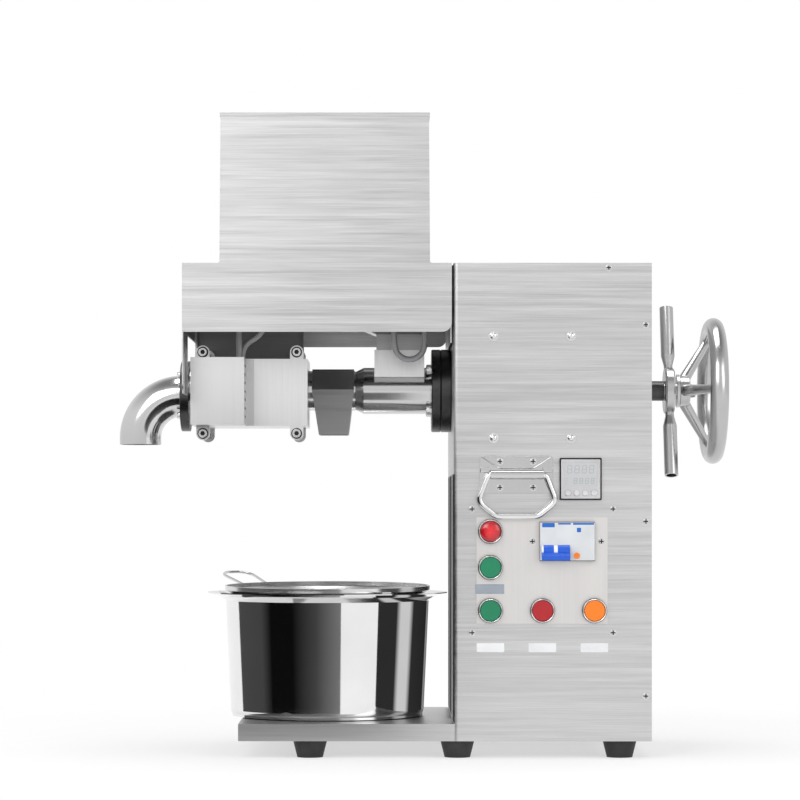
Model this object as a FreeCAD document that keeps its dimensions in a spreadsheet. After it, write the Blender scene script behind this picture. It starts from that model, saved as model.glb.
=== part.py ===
import FreeCAD, Part
import Sketcher
import math
import os
import re

# Screw oil press, millimetres.
# +X runs along the press screw from the cake outlet to the handwheel, +Z is up and
# -Y is the operator's side.  The origin is the floor under the middle of the whole press.

V = FreeCAD.Vector
doc = FreeCAD.newDocument("ScrewOilPress")
sheet = doc.addObject("Spreadsheet::Sheet", "Sizes")

SIZES = {
    # base and feet
    "sheet_gauge": 1.5,
    "base_middle": 26.2,
    "base_length": 480.0,
    "base_depth": 310.0,
    "pan_height": 20.0,
    "pan_flange": 45.0,
    "foot_height": 20.0,
    "foot_top_radius": 20.0,
    "foot_bottom_radius": 15.0,
    "foot_inset": 25.0,
    "foot_left_inset": 83.0,
    "foot_middle_offset": 5.0,
    "foot_right_inset": 35.5,
    # cabinet
    "cabinet_length": 230.0,
    "cabinet_height": 555.0,
    "corner_radius": 5.0,
    "cover_flange": 14.0,
    "vent_width": 4.0,
    "vent_length": 60.0,
    "vent_pitch": 12.0,
    "vent_count": 9.0,
    "vent_height": 90.0,
    "panel_screw_radius": 4.0,
    "panel_screw_head": 2.0,
    # screw line
    "screw_height": 433.0,
    "inner_flange": 12.5,
    "outer_flange": 11.1,
    "flange_radius": 50.0,
    "flange_bolt_circle": 35.0,
    "flange_bolt_radius": 6.5,
    "flange_bolt_head": 6.4,
    "barrel_length": 91.9,
    "barrel_radius": 28.0,
    "barrel_chamfer": 10.0,
    "cage_length": 56.5,
    "cage_radius": 24.0,
    "cage_slots": 12.0,
    "cage_slot_width": 2.0,
    "cage_slot_length": 34.0,
    "cage_slot_inset": 9.0,
    "head_length": 143.4,
    "head_radius": 28.0,
    "bore_radius": 20.0,
    "outlet_radius": 16.0,
    "outlet_length": 15.0,
    # press screw
    "flight_clearance": 0.3,
    "flight_pitch": 30.0,
    "flight_root_width": 7.0,
    "flight_tip_width": 3.5,
    "feed_core_radius": 10.0,
    "press_core_radius": 15.0,
    "nose_length": 15.0,
    "nose_radius": 9.0,
    "tip_gap": 6.0,
    "drive_flats": 26.0,
    "drive_length": 55.0,
    "fit_clearance": 0.15,
    "running_clearance": 0.05,
    # feed throat
    "throat_inset": 8.8,
    "throat_length": 59.9,
    "throat_half_width": 33.5,
    "throat_bottom": 15.6,
    "throat_top": 48.0,
    "throat_wall": 4.4,
    "throat_hole_half": 16.0,
    # oil chute
    "chute_start": 1.5,
    "chute_length": 50.4,
    "chute_half_width": 40.0,
    "chute_ridge": 25.7,
    "chute_ridge_half": 11.0,
    "chute_drop": 53.5,
    "chute_taper": 8.0,
    "chute_taper_right": 6.4,
    "chute_outlet_half": 18.0,
    # heated head
    "heater_inset": 5.4,
    "heater_half_depth": 55.0,
    "heater_above": 36.0,
    "heater_below": 44.0,
    "heater_split": 0.5,
    "cartridge_radius": 6.0,
    "cartridge_length": 110.0,
    "cartridge_offset": 42.0,
    "cartridge_height": 20.0,
    "lug_radius": 8.0,
    "lug_thickness": 6.0,
    "lug_above": 44.0,
    "lug_below": 53.0,
    "lug_inset": 13.0,
    "tie_radius": 4.0,
    "tie_head_radius": 6.5,
    "tie_head": 5.0,
    # terminal box
    "terminal_length": 63.0,
    "terminal_depth": 58.0,
    "terminal_inset": 2.0,
    "terminal_gauge": 1.2,
    "terminal_flange": 9.0,
    "louvre_count": 7.0,
    "louvre_pitch": 10.0,
    "louvre_width": 3.0,
    "louvre_length": 34.0,
    # elbow
    "elbow_flange": 10.6,
    "elbow_flange_radius": 42.5,
    "elbow_radius": 25.0,
    "elbow_wall": 1.5,
    "elbow_bend": 50.0,
    "elbow_drop": 6.5,
    "elbow_spout": 8.5,
    "elbow_bolt_circle": 34.0,
    "elbow_bolt_radius": 4.5,
    "elbow_bolt_head": 4.0,
    # hood and hopper
    "hood_left_overhang": 0.4,
    "hood_gap": 2.0,
    "hood_height": 80.0,
    "hood_guard_drop": 71.0,
    "hood_right_drop": 12.0,
    "hood_guard_leg": 78.0,
    "hood_corner": 11.0,
    "hanger_inset": 1.0,
    "hanger_length": 131.5,
    "hanger_rise": 102.0,
    "hanger_drop": 33.0,
    "hanger_flange": 12.0,
    "duct_front": 100.0,
    "duct_back": 78.0,
    "duct_bottom": 80.0,
    "duct_height": 20.0,
    "hopper_left_inset": 43.0,
    "hopper_right_inset": 28.0,
    "hopper_half_depth": 125.0,
    "hopper_height": 176.4,
    "hopper_taper": 1.2,
    "hopper_gauge": 1.2,
    "hopper_hem": 4.0,
    "hopper_flange": 2.5,
    "hopper_seat": 8.0,
    "hopper_rest_gap": 0.3,
    "gasket_height": 1.7,
    "gasket_width": 12.0,
    "spout_bottom": 48.3,
    "spout_neck": 67.0,
    "spout_half_width": 24.0,
    # gearbox
    "case_wall": 8.0,
    "case_start": 30.0,
    "case_length": 152.0,
    "gear_well_length": 52.0,
    "case_clearance": 4.0,
    "case_half_depth": 84.0,
    "nose_housing_radius": 50.0,
    "sleeve_radius": 22.5,
    "sleeve_bore": 15.3,
    "bore_start": 44.5,
    "cup_room": 3.5,
    "bearing_radius": 34.0,
    "bearing_width": 14.0,
    "pressure_angle": 25.0,
    "output_module": 3.0,
    "output_teeth": 46.0,
    "output_width": 16.0,
    "output_pinion_teeth": 12.0,
    "input_module": 2.5,
    "input_teeth": 40.0,
    "input_width": 12.0,
    "motor_pinion_teeth": 12.0,
    "tooth_backlash": 0.3,
    "layshaft_radius": 8.0,
    "small_bearing_radius": 13.0,
    "post_radius": 9.0,
    "post_left": 16.4,
    "post_span": 89.9,
    "post_up": 57.1,
    "post_down": 61.2,
    "case_bolt_radius": 6.0,
    "case_bolt_head": 4.5,
    # motor
    "motor_length": 112.0,
    "motor_radius": 60.0,
    "motor_fin": 4.0,
    "motor_fins": 16.0,
    "motor_wall": 8.0,
    "rotor_radius": 40.0,
    "rotor_gap": 0.5,
    "fan_radius": 46.0,
    "fan_width": 8.0,
    "fan_blades": 6.0,
    # adjusting spindle, lock nut and handwheel
    "cup_width": 12.0,
    "cup_recess": 3.0,
    "seat_gap": 0.3,
    "spindle_radius": 10.0,
    "stub_radius": 12.0,
    "stub_length": 28.0,
    "stub_flange_radius": 32.0,
    "stub_flange": 8.5,
    "lock_gap": 0.7,
    "lock_radius": 28.5,
    "lock_width": 11.6,
    "lever_angle": 18.0,
    "lever_neck_radius": 5.25,
    "lever_radius": 8.25,
    "lever_reach": 108.0,
    "lever_neck_end": 45.0,
    "wheel_gap": 3.2,
    "washer_radius": 20.0,
    "washer_width": 3.3,
    "hub_radius": 18.5,
    "hub_width": 12.5,
    "wheel_dish": 28.4,
    "wheel_radius": 77.3,
    "rim_radius": 11.0,
    "spoke_hub_radius": 7.0,
    "spoke_rim_radius": 4.8,
    "wheel_nut_radius": 8.5,
    "wheel_nut_width": 7.0,
    # carry handles
    "handle_left": 30.0,
    "handle_length": 86.0,
    "handle_height": 44.0,
    "handle_bottom": 307.4,
    "handle_tube_height": 21.6,
    "handle_tube_radius": 5.35,
    "handle_tube_inset": 13.0,
    "bail_radius": 3.5,
    "bail_hang": 48.0,
    "bail_shoulder": 31.0,
    "bail_flare": 17.0,
    "bail_foot": 9.5,
    "handle_screw_inset_x": 23.8,
    "handle_screw_inset_z": 6.9,
    # controls
    "plate_left": 26.5,
    "plate_length": 152.0,
    "plate_height": 123.4,
    "plate_bottom": 156.4,
    "button_ring_radius": 14.4,
    "button_radius": 12.0,
    "button_ring": 8.0,
    "button_body_radius": 10.8,
    "button_body": 34.0,
    "button_face": 3.5,
    "button_stem_radius": 4.0,
    "button_column": 16.2,
    "button_pitch": 60.3,
    "button_row": 15.2,
    "heat_row": 65.3,
    "lamp_row": 107.1,
    "breaker_left": 73.2,
    "breaker_length": 63.6,
    "breaker_bottom": 72.8,
    "breaker_height": 45.3,
    "breaker_nose": 9.5,
    "breaker_depth": 58.0,
    "breaker_skirt": 17.0,
    "toggle_inset": 1.8,
    "toggle_length": 32.8,
    "toggle_radius": 8.0,
    "toggle_row": 11.2,
    "toggle_sink": 3.0,
    "toggle_lever": 16.0,
    "toggle_thickness": 6.0,
    "toggle_rest_angle": 30.0,
    "test_column": 42.6,
    "test_row": 6.2,
    "test_radius": 3.5,
    "controller_left": 123.1,
    "controller_clearance": 0.8,
    "controller_size": 48.0,
    "controller_bezel": 6.0,
    "controller_depth": 80.0,
    "controller_wall": 1.5,
    "key_radius": 3.5,
    "key_row": 7.8,
    "key_first": 9.2,
    "key_pitch": 10.1,
    "key_travel": 0.8,
    "gland_height": 80.0,
    "gland_inset": 40.0,
    # pot and strainer
    "pot_radius": 123.0,
    "pot_foot_radius": 116.7,
    "pot_height": 139.5,
    "pot_lip_radius": 145.0,
    "pot_lip_height": 9.1,
    "pot_wall": 1.2,
    "pot_bottom_round": 9.0,
    "pot_under_chute": 7.2,
    "strainer_radius": 124.0,
    "strainer_rim": 2.5,
    "strainer_band": 5.0,
    "strainer_wire": 1.8,
    "strainer_depth": 40.0,
    "strainer_wall": 1.0,
    "strainer_tilt": 1.0,
    "strainer_gap": 0.3,
    "strainer_clip": 1.5,
    "strainer_clip_width": 12.0,
    "strainer_clip_angle": 60.0,
    "strainer_handle_length": 85.0,
    "strainer_handle_width": 33.0,
    "strainer_handle_flare": 6.0,
    "strainer_handle_angle": 126.0,
    "strainer_handle_rise": 15.0,
    # wiring
    "lead_diameter": 7.0,
}
for row, (alias, number) in enumerate(SIZES.items(), start=1):
    sheet.set(f"A{row}", alias)
    sheet.set(f"B{row}", str(number))
    sheet.setAlias(f"B{row}", alias)
doc.recompute()

NAMES = re.compile(r"\b(" + "|".join(SIZES) + r")\b")
TURN_TO = {
    "X": FreeCAD.Rotation(V(0, 1, 0), 90),
    "Y": FreeCAD.Rotation(V(1, 0, 0), -90),
    "Z": FreeCAD.Rotation(),
}
SKETCH_TURN = {
    "X": FreeCAD.Rotation(V(1, 1, 1), 120),
    "-Y": FreeCAD.Rotation(V(1, 0, 0), 90),
    "Z": FreeCAD.Rotation(),
}
nodes = []


# ---------------------------------------------------------------- helpers

def formula(text):
    """An expression with the sheet's name before each of its sizes."""
    return NAMES.sub(r"Sizes.\1", str(text))


def value(text):
    """The number that a formula gives now."""
    found = sheet.evalExpression(formula(text))
    return float(getattr(found, "Value", found))


def bind(thing, **formulas):
    for name, text in formulas.items():
        thing.setExpression(name, formula(text))
    return thing


def place(thing, x, y, z, turn=None):
    if turn is not None:
        thing.Placement = FreeCAD.Placement(V(), turn)
    for letter, text in zip("xyz", (x, y, z)):
        thing.setExpression("Placement.Base." + letter, formula(text))
    return thing


def box(name, low, high):
    solid = doc.addObject("Part::Box", name)
    spans = [f"({b}) - ({a})" for a, b in zip(low, high)]
    bind(solid, Length=spans[0], Width=spans[1], Height=spans[2])
    return place(solid, *low)


def cylinder(name, axis, start, length, radius):
    solid = doc.addObject("Part::Cylinder", name)
    bind(solid, Radius=radius, Height=length)
    return place(solid, *start, TURN_TO[axis])


def cone(name, axis, start, length, radius, end_radius):
    solid = doc.addObject("Part::Cone", name)
    bind(solid, Radius1=radius, Radius2=end_radius, Height=length)
    return place(solid, *start, TURN_TO[axis])


def wedge(name, bottom, top, low, high):
    """A frustum from one rectangle (x0, x1, half depth) up to another."""
    solid = doc.addObject("Part::Wedge", name)
    bind(solid, Ymin=low, Ymax=high, Xmin=bottom[0], Xmax=bottom[1], X2min=top[0], X2max=top[1])
    bind(solid, Zmin=f"-({bottom[2]})", Zmax=bottom[2], Z2min=f"-({top[2]})", Z2max=top[2])
    solid.Placement = FreeCAD.Placement(V(), FreeCAD.Rotation(V(1, 0, 0), 90))
    return solid


def fuse(name, *solids):
    joined = doc.addObject("Part::MultiFuse", name)
    joined.Shapes = list(solids)
    joined.Refine = True
    return joined


def cut(name, base, *tools):
    tool = tools[0] if len(tools) == 1 else fuse(name + "_tools", *tools)
    left = doc.addObject("Part::Cut", name)
    left.Base = base
    left.Tool = tool
    left.Refine = True
    return left


def group(name, solids):
    together = doc.addObject("Part::Compound", name)
    together.Links = list(solids)
    return together


def mirrored(name, source):
    """The same piece on the other side of the press's middle plane."""
    copy = doc.addObject("Part::Mirroring", name)
    copy.Source = source
    copy.Base = V(0, 0, 0)
    copy.Normal = V(0, 1, 0)
    return copy


def outline(body, name, plane, points):
    """A closed sketch whose corners are held by formulas."""
    sketch = body.newObject("Sketcher::SketchObject", name)
    support = [face for face in body.Origin.OriginFeatures if face.Role == plane][0]
    sketch.AttachmentSupport = (support, [""])
    sketch.MapMode = "FlatFace"
    spots = [V(value(a), value(b), 0) for a, b in points]
    lines = [Part.LineSegment(spots[i - 1], spots[i]) for i in range(len(spots))]
    sketch.addGeometry(lines, False)
    for i, (across, up) in enumerate(points):
        sketch.addConstraint(Sketcher.Constraint("Coincident", i, 2, (i + 1) % len(points), 1))
        for kind, text, number, line in (("DistanceX", across, spots[i].x, -2),
                                         ("DistanceY", up, spots[i].y, -1)):
            if str(text) == "0":
                sketch.addConstraint(Sketcher.Constraint("PointOnObject", i, 2, line))
            else:
                held = sketch.addConstraint(Sketcher.Constraint(kind, -1, 1, i, 2, number))
                sketch.setExpression(f"Constraints[{held}]", formula(text))
    return sketch


def lathe(name, axis, start, profile):
    """A turned piece: profile gives (radius, distance along the axis)."""
    body = doc.addObject("PartDesign::Body", name)
    sketch = outline(body, name + "_profile", "XZ_Plane", profile)
    turned = body.newObject("PartDesign::Revolution", name + "_turned")
    turned.Profile = sketch
    turned.ReferenceAxis = (sketch, ["V_Axis"])
    turned.Angle = 360.0
    return place(body, *start, TURN_TO[axis])


def plate(name, axis, start, points, thickness):
    """A flat piece padded from its outline along the axis."""
    body = doc.addObject("PartDesign::Body", name)
    pad = body.newObject("PartDesign::Pad", name + "_pad")
    pad.Profile = outline(body, name + "_outline", "XY_Plane", points)
    bind(pad, Length=thickness)
    return place(body, *start, SKETCH_TURN[axis])


def rounded(name, base, radius, chosen):
    """The same solid with the chosen edges rounded."""
    doc.recompute()
    size = value(radius)
    fillet = doc.addObject("Part::Fillet", name)
    fillet.Base = base
    edges = enumerate(base.Shape.Edges, start=1)
    fillet.Edges = [(number, size, size) for number, edge in edges if chosen(edge)]
    return fillet


def along(direction, near=None):
    """Picks straight edges in one direction, near a place where one is given."""
    def chosen(edge):
        ends = [vertex.Point for vertex in edge.Vertexes]
        if len(ends) != 2:
            return False
        run = ends[1] - ends[0]
        straight = abs(abs(run.dot(direction)) - run.Length) < 0.001
        return straight and (near is None or near((ends[0] + ends[1]) * 0.5))
    return chosen


def made(name, shape):
    """A piece that Part's own functions shape."""
    piece = doc.addObject("Part::Feature", name)
    piece.Shape = shape
    return piece


def node(piece, name):
    """Keeps a finished piece under the name of its file."""
    piece.Label = name
    nodes.append(piece)
    return piece


def bent_path(points, radii, closed=False):
    """Straight runs joined by arcs that are tangent to them."""
    count = len(points)
    inner = range(count) if closed else range(1, count - 1)
    arcs = {}
    for i in inner:
        corner = points[i]
        back = (points[i - 1] - corner).normalize()
        ahead = (points[(i + 1) % count] - corner).normalize()
        half_turn = (math.pi - back.getAngle(ahead)) / 2
        reach = radii[i] * math.tan(half_turn)
        first = corner + back * reach
        last = corner + ahead * reach
        centre = corner + (back + ahead).normalize() * (radii[i] / math.cos(half_turn))
        middle = centre + (corner - centre).normalize() * radii[i]
        arcs[i] = (first, middle, last)
    edges = []
    for i in range(count if closed else count - 1):
        after = (i + 1) % count
        start = arcs[i][2] if i in arcs else points[i]
        end = arcs[after][0] if after in arcs else points[after]
        if (end - start).Length > 0.001:
            edges.append(Part.makeLine(start, end))
        if after in arcs and (closed or after != count - 1):
            edges.append(Part.Arc(*arcs[after]).toShape())
    return Part.Wire(edges)


def tube(path, radius):
    """A round rod swept along a path."""
    first = path.OrderedEdges[0]
    start = first.valueAt(first.FirstParameter)
    heading = first.tangentAt(first.FirstParameter)
    if first.Orientation == "Reversed":
        start = first.valueAt(first.LastParameter)
        heading = heading * -1
    ring = Part.Wire(Part.makeCircle(radius, start, heading))
    return path.makePipeShell([ring], True, False)


def gear_shape(module, teeth, width, backlash, turn):
    """A spur gear on the X axis from x = 0, with a tooth at the angle turn from +Y."""
    pressure = math.radians(value("pressure_angle"))
    pitch = module * teeth / 2
    base = pitch * math.cos(pressure)
    tip = pitch + 0.95 * module
    root = pitch - 1.15 * module
    half_pitch = math.pi / (2 * teeth) - backlash / (2 * pitch)
    half_base = half_pitch + math.tan(pressure) - pressure

    def half_width(radius):
        angle = math.acos(min(1.0, base / radius))
        return half_base - (math.tan(angle) - angle)

    flank = [root, max(base, root * 1.01), (pitch + max(base, root)) / 2, (pitch + tip) / 2, tip]
    spots = []
    for tooth in range(int(teeth)):
        middle = turn + 2 * math.pi * tooth / teeth
        spots += [(radius, middle - half_width(radius)) for radius in flank]
        spots += [(radius, middle + half_width(radius)) for radius in reversed(flank)]
    corners = [V(0, radius * math.cos(angle), radius * math.sin(angle)) for radius, angle in spots]
    return Part.Face(Part.makePolygon(corners + corners[:1])).extrude(V(width, 0, 0))


def hexagon(flats, length):
    """A hexagonal bar along X from x = 0."""
    radius = flats / math.sqrt(3)
    corners = [V(0, radius * math.cos(math.pi * i / 3), radius * math.sin(math.pi * i / 3))
               for i in range(7)]
    return Part.Face(Part.makePolygon(corners)).extrude(V(length, 0, 0))


# ---------------------------------------------------------------- places

RIGHT = "(base_middle + base_length / 2)"
LEFT = f"({RIGHT} - cabinet_length)"
BASE_LEFT = f"({RIGHT} - base_length)"
FRONT = "(-base_depth / 2)"
BACK = "(base_depth / 2)"
TOP = "(foot_height + cabinet_height)"
DECK = "(foot_height + pan_height)"
AXIS = "screw_height"
IN_LEFT = f"({LEFT} + sheet_gauge)"
IN_RIGHT = f"({RIGHT} - sheet_gauge)"
IN_FRONT = f"({FRONT} + sheet_gauge)"
IN_BACK = f"({BACK} - sheet_gauge)"
IN_TOP = f"({TOP} - sheet_gauge)"
FLANGE_START = f"({LEFT} - inner_flange - outer_flange)"
BARREL_END = f"({FLANGE_START} - barrel_length)"
CAGE_END = f"({BARREL_END} - cage_length)"
HEAD_END = f"({CAGE_END} - head_length)"
HEATER_END = f"({HEAD_END} + heater_inset)"
ELBOW_START = f"({HEAD_END} - elbow_flange)"
HOOD_LEFT = f"({HEAD_END} + hood_left_overhang)"
HOOD_RIGHT = f"({LEFT} - hood_gap)"
HOOD_BOTTOM = f"({TOP} - hood_height)"
EDGE = 1.0


# ---------------------------------------------------------------- base

def base_pan():
    low = (BASE_LEFT, IN_FRONT, "foot_height")
    high = (IN_RIGHT, IN_BACK, DECK)
    outer = box("pan_outer", low, high)
    inner = box("pan_inner", [f"{a} + sheet_gauge" for a in low],
                [f"{b} - sheet_gauge" for b in high])
    mouth = box("pan_mouth",
                (f"{low[0]} + pan_flange", f"{low[1]} + pan_flange", f"foot_height - {EDGE}"),
                (f"{high[0]} - pan_flange", f"{high[1]} - pan_flange", f"foot_height + {EDGE} * 2"))
    node(cut("base_pan", outer, inner, mouth), "base_pan")


def feet():
    rows = (f"{BASE_LEFT} + foot_left_inset", f"{LEFT} + foot_middle_offset",
            f"{RIGHT} - foot_right_inset")
    pads = []
    for i, x in enumerate(rows):
        for j, y in enumerate((f"{FRONT} + foot_inset", f"{BACK} - foot_inset")):
            pads.append(cone(f"foot_{i}{j}", "Z", (x, y, 0), "foot_height",
                             "foot_bottom_radius", "foot_top_radius"))
    node(group("feet", pads), "feet")


# ---------------------------------------------------------------- cabinet

PLATE_LEFT = f"({LEFT} + plate_left)"
PLATE_FRONT = f"({FRONT} - sheet_gauge)"
BREAKER_LEFT = f"({PLATE_LEFT} + breaker_left)"
BREAKER_BOTTOM = "(plate_bottom + breaker_bottom)"
CONTROL_LEFT = f"({LEFT} + controller_left)"
CONTROL_BOTTOM = f"({AXIS} - case_half_depth - controller_clearance - controller_size)"
BUTTON_X = f"({PLATE_LEFT} + button_column)"
BUTTONS = {
    "press_button": (BUTTON_X, "(plate_bottom + button_row)"),
    "stop_button": (f"({BUTTON_X} + button_pitch)", "(plate_bottom + button_row)"),
    "clean_button": (f"({BUTTON_X} + button_pitch * 2)", "(plate_bottom + button_row)"),
    "heat_button": (BUTTON_X, "(plate_bottom + heat_row)"),
}
LAMP = (BUTTON_X, "(plate_bottom + lamp_row)")


def cabinet():
    low = (LEFT, FRONT, "foot_height")
    high = (RIGHT, BACK, TOP)
    outer = rounded("wrap_outer", box("wrap_block", low, high), "corner_radius",
                    along(V(0, 0, 1), lambda at: at.x < value(RIGHT) - EDGE))
    core = box("wrap_core", (IN_LEFT, IN_FRONT, f"foot_height - {EDGE}"),
               (f"{RIGHT} + {EDGE}", IN_BACK, f"{TOP} + {EDGE}"))
    inner = rounded("wrap_inner", core, "corner_radius - sheet_gauge",
                    along(V(0, 0, 1), lambda at: at.x < value(RIGHT) - EDGE))
    kick = box("wrap_kick", (f"{LEFT} - {EDGE}", IN_FRONT, f"foot_height - {EDGE}"),
               (f"{IN_LEFT} + corner_radius", IN_BACK, DECK))
    screw_hole = cylinder("wrap_screw_hole", "X", (f"{LEFT} - {EDGE}", 0, AXIS),
                          f"sheet_gauge + 2 * {EDGE}", "barrel_radius + 2")
    panel = box("wrap_control_hole",
                (f"{PLATE_LEFT} + 4", f"{FRONT} - {EDGE}", "plate_bottom + 4"),
                (f"{PLATE_LEFT} + plate_length - 4", f"{IN_FRONT} + {EDGE}",
                 "plate_bottom + plate_height - 4"))
    window = box("wrap_controller_hole",
                 (f"{CONTROL_LEFT} + controller_wall", f"{FRONT} - {EDGE}",
                  f"{CONTROL_BOTTOM} + controller_wall"),
                 (f"{CONTROL_LEFT} + controller_size - controller_wall", f"{IN_FRONT} + {EDGE}",
                  f"{CONTROL_BOTTOM} + controller_size - controller_wall"))
    gland = cylinder("wrap_gland_hole", "Y",
                     (f"{RIGHT} - gland_inset", f"{IN_BACK} - {EDGE}", "gland_height"),
                     f"sheet_gauge + 2 * {EDGE}", "8")
    vents = []
    for i in range(int(value("vent_count"))):
        z = f"gland_height + 60 + vent_pitch * {i}"
        vents.append(box(f"back_vent_{i}",
                         (f"{LEFT} + cabinet_length / 2 - vent_length / 2", f"{IN_BACK} - {EDGE}", z),
                         (f"{LEFT} + cabinet_length / 2 + vent_length / 2", f"{BACK} + {EDGE}",
                          f"{z} + vent_width")))
    node(cut("cabinet_body", outer, inner, kick, screw_hole, panel, window, gland, *vents),
         "cabinet_body")


def cabinet_cover():
    side = box("cover_side", (IN_RIGHT, IN_FRONT, "foot_height"), (RIGHT, IN_BACK, TOP))
    roof = rounded("cover_roof", box("cover_top", (IN_LEFT, IN_FRONT, IN_TOP), (RIGHT, IN_BACK, TOP)),
                   "corner_radius - sheet_gauge",
                   along(V(0, 0, 1), lambda at: at.x < value(RIGHT) - EDGE))
    flanges = []
    for tag, y in (("front", IN_FRONT), ("back", f"{IN_BACK} - sheet_gauge")):
        flanges.append(box(f"cover_{tag}_flange", (f"{IN_RIGHT} - cover_flange", y, DECK),
                           (IN_RIGHT, f"{y} + sheet_gauge", IN_TOP)))
        flanges.append(box(f"cover_{tag}_top_flange", (f"{IN_LEFT} + corner_radius", y,
                                                       f"{IN_TOP} - cover_flange"),
                           (IN_RIGHT, f"{y} + sheet_gauge", IN_TOP)))
    hole = cylinder("cover_spindle_hole", "X", (f"{IN_RIGHT} - {EDGE}", 0, AXIS),
                    f"sheet_gauge + 2 * {EDGE}", "stub_radius")
    vents = []
    for i in range(int(value("vent_count"))):
        z = f"vent_height + vent_pitch * {i}"
        vents.append(box(f"side_vent_{i}", (f"{IN_RIGHT} - {EDGE}", "-vent_length / 2", z),
                         (f"{RIGHT} + {EDGE}", "vent_length / 2", f"{z} + vent_width")))
    whole = fuse("cover_sheet", side, roof, *flanges)
    bent = rounded("cover_bent", whole, "sheet_gauge",
                   along(V(0, 1, 0), lambda at: at.x > value(RIGHT) - 0.1 and at.z > value(TOP) - 0.1))
    node(cut("cabinet_cover", bent, hole, *vents), "cabinet_cover")


def panel_screws():
    heads = []

    def screw(x, z, face=FRONT, back=True):
        tag = f"screw_{len(heads)}"
        head = cylinder(tag, "Y", (x, f"{face} - panel_screw_head", z), "panel_screw_head",
                        "panel_screw_radius")
        heads.append(head)
        if back:
            heads.append(mirrored(tag + "_back", head))

    for z in ("503", "275", "72.5"):
        screw(f"{RIGHT} - cover_flange / 2", z)
    screw(f"{RIGHT} - 50", f"{IN_TOP} - 4.2")
    for x in (f"{PLATE_LEFT} - 5", f"{PLATE_LEFT} + plate_length + 6.5"):
        for z in ("plate_bottom - 10.4", "plate_bottom + plate_height + 9.6"):
            screw(x, z, back=False)
    for x in (f"{BREAKER_LEFT} - 8.5", f"{BREAKER_LEFT} + breaker_length + 8"):
        screw(x, f"{BREAKER_BOTTOM} + breaker_height / 2", PLATE_FRONT, back=False)
    for x in ("handle_screw_inset_x", "handle_length - handle_screw_inset_x"):
        for z in ("handle_screw_inset_z", "handle_height - handle_screw_inset_z"):
            screw(f"{LEFT} + handle_left + {x}", f"handle_bottom + {z}", f"{FRONT} - sheet_gauge")
    node(group("panel_screws", heads), "panel_screws")


# ---------------------------------------------------------------- gearbox and motor

CASE_LEFT = f"({LEFT} + case_start)"
COVER_START = f"({CASE_LEFT} + case_length)"
WELL_LEFT = f"({COVER_START} - gear_well_length)"
LAY_DROP = "(output_module * (output_teeth + output_pinion_teeth) / 2)"
MOTOR_DROP = "(input_module * (input_teeth + motor_pinion_teeth) / 2)"
LAY_Z = f"({AXIS} - {LAY_DROP})"
MOTOR_Z = f"({LAY_Z} - {MOTOR_DROP})"
WELL_HALF = "(input_module * (input_teeth / 2 + 1) + case_clearance)"
WELL_BOTTOM = f"({MOTOR_Z} - input_module * (motor_pinion_teeth / 2 + 1) - case_clearance)"
SLEEVE_START = f"({IN_LEFT} + 2.5)"
BEARING_LEFT = f"({IN_LEFT} + case_wall)"
BEARING_RIGHT = f"({COVER_START} + case_wall - bearing_width)"
OUTPUT_GEAR_X = f"({COVER_START} - 9 - output_width)"
INPUT_GEAR_X = f"({WELL_LEFT} + case_wall + 3)"
CUP_START = f"({SLEEVE_START} + bore_start + cup_room)"
BOLT_SPOTS = [(f"({CASE_LEFT} + post_left)", f"({AXIS} + post_up)"),
              (f"({CASE_LEFT} + post_left + post_span)", f"({AXIS} + post_up)"),
              (f"({CASE_LEFT} + post_left)", f"({AXIS} - post_down)"),
              (f"({CASE_LEFT} + post_left + post_span)", f"({AXIS} - post_down)")]


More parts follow.
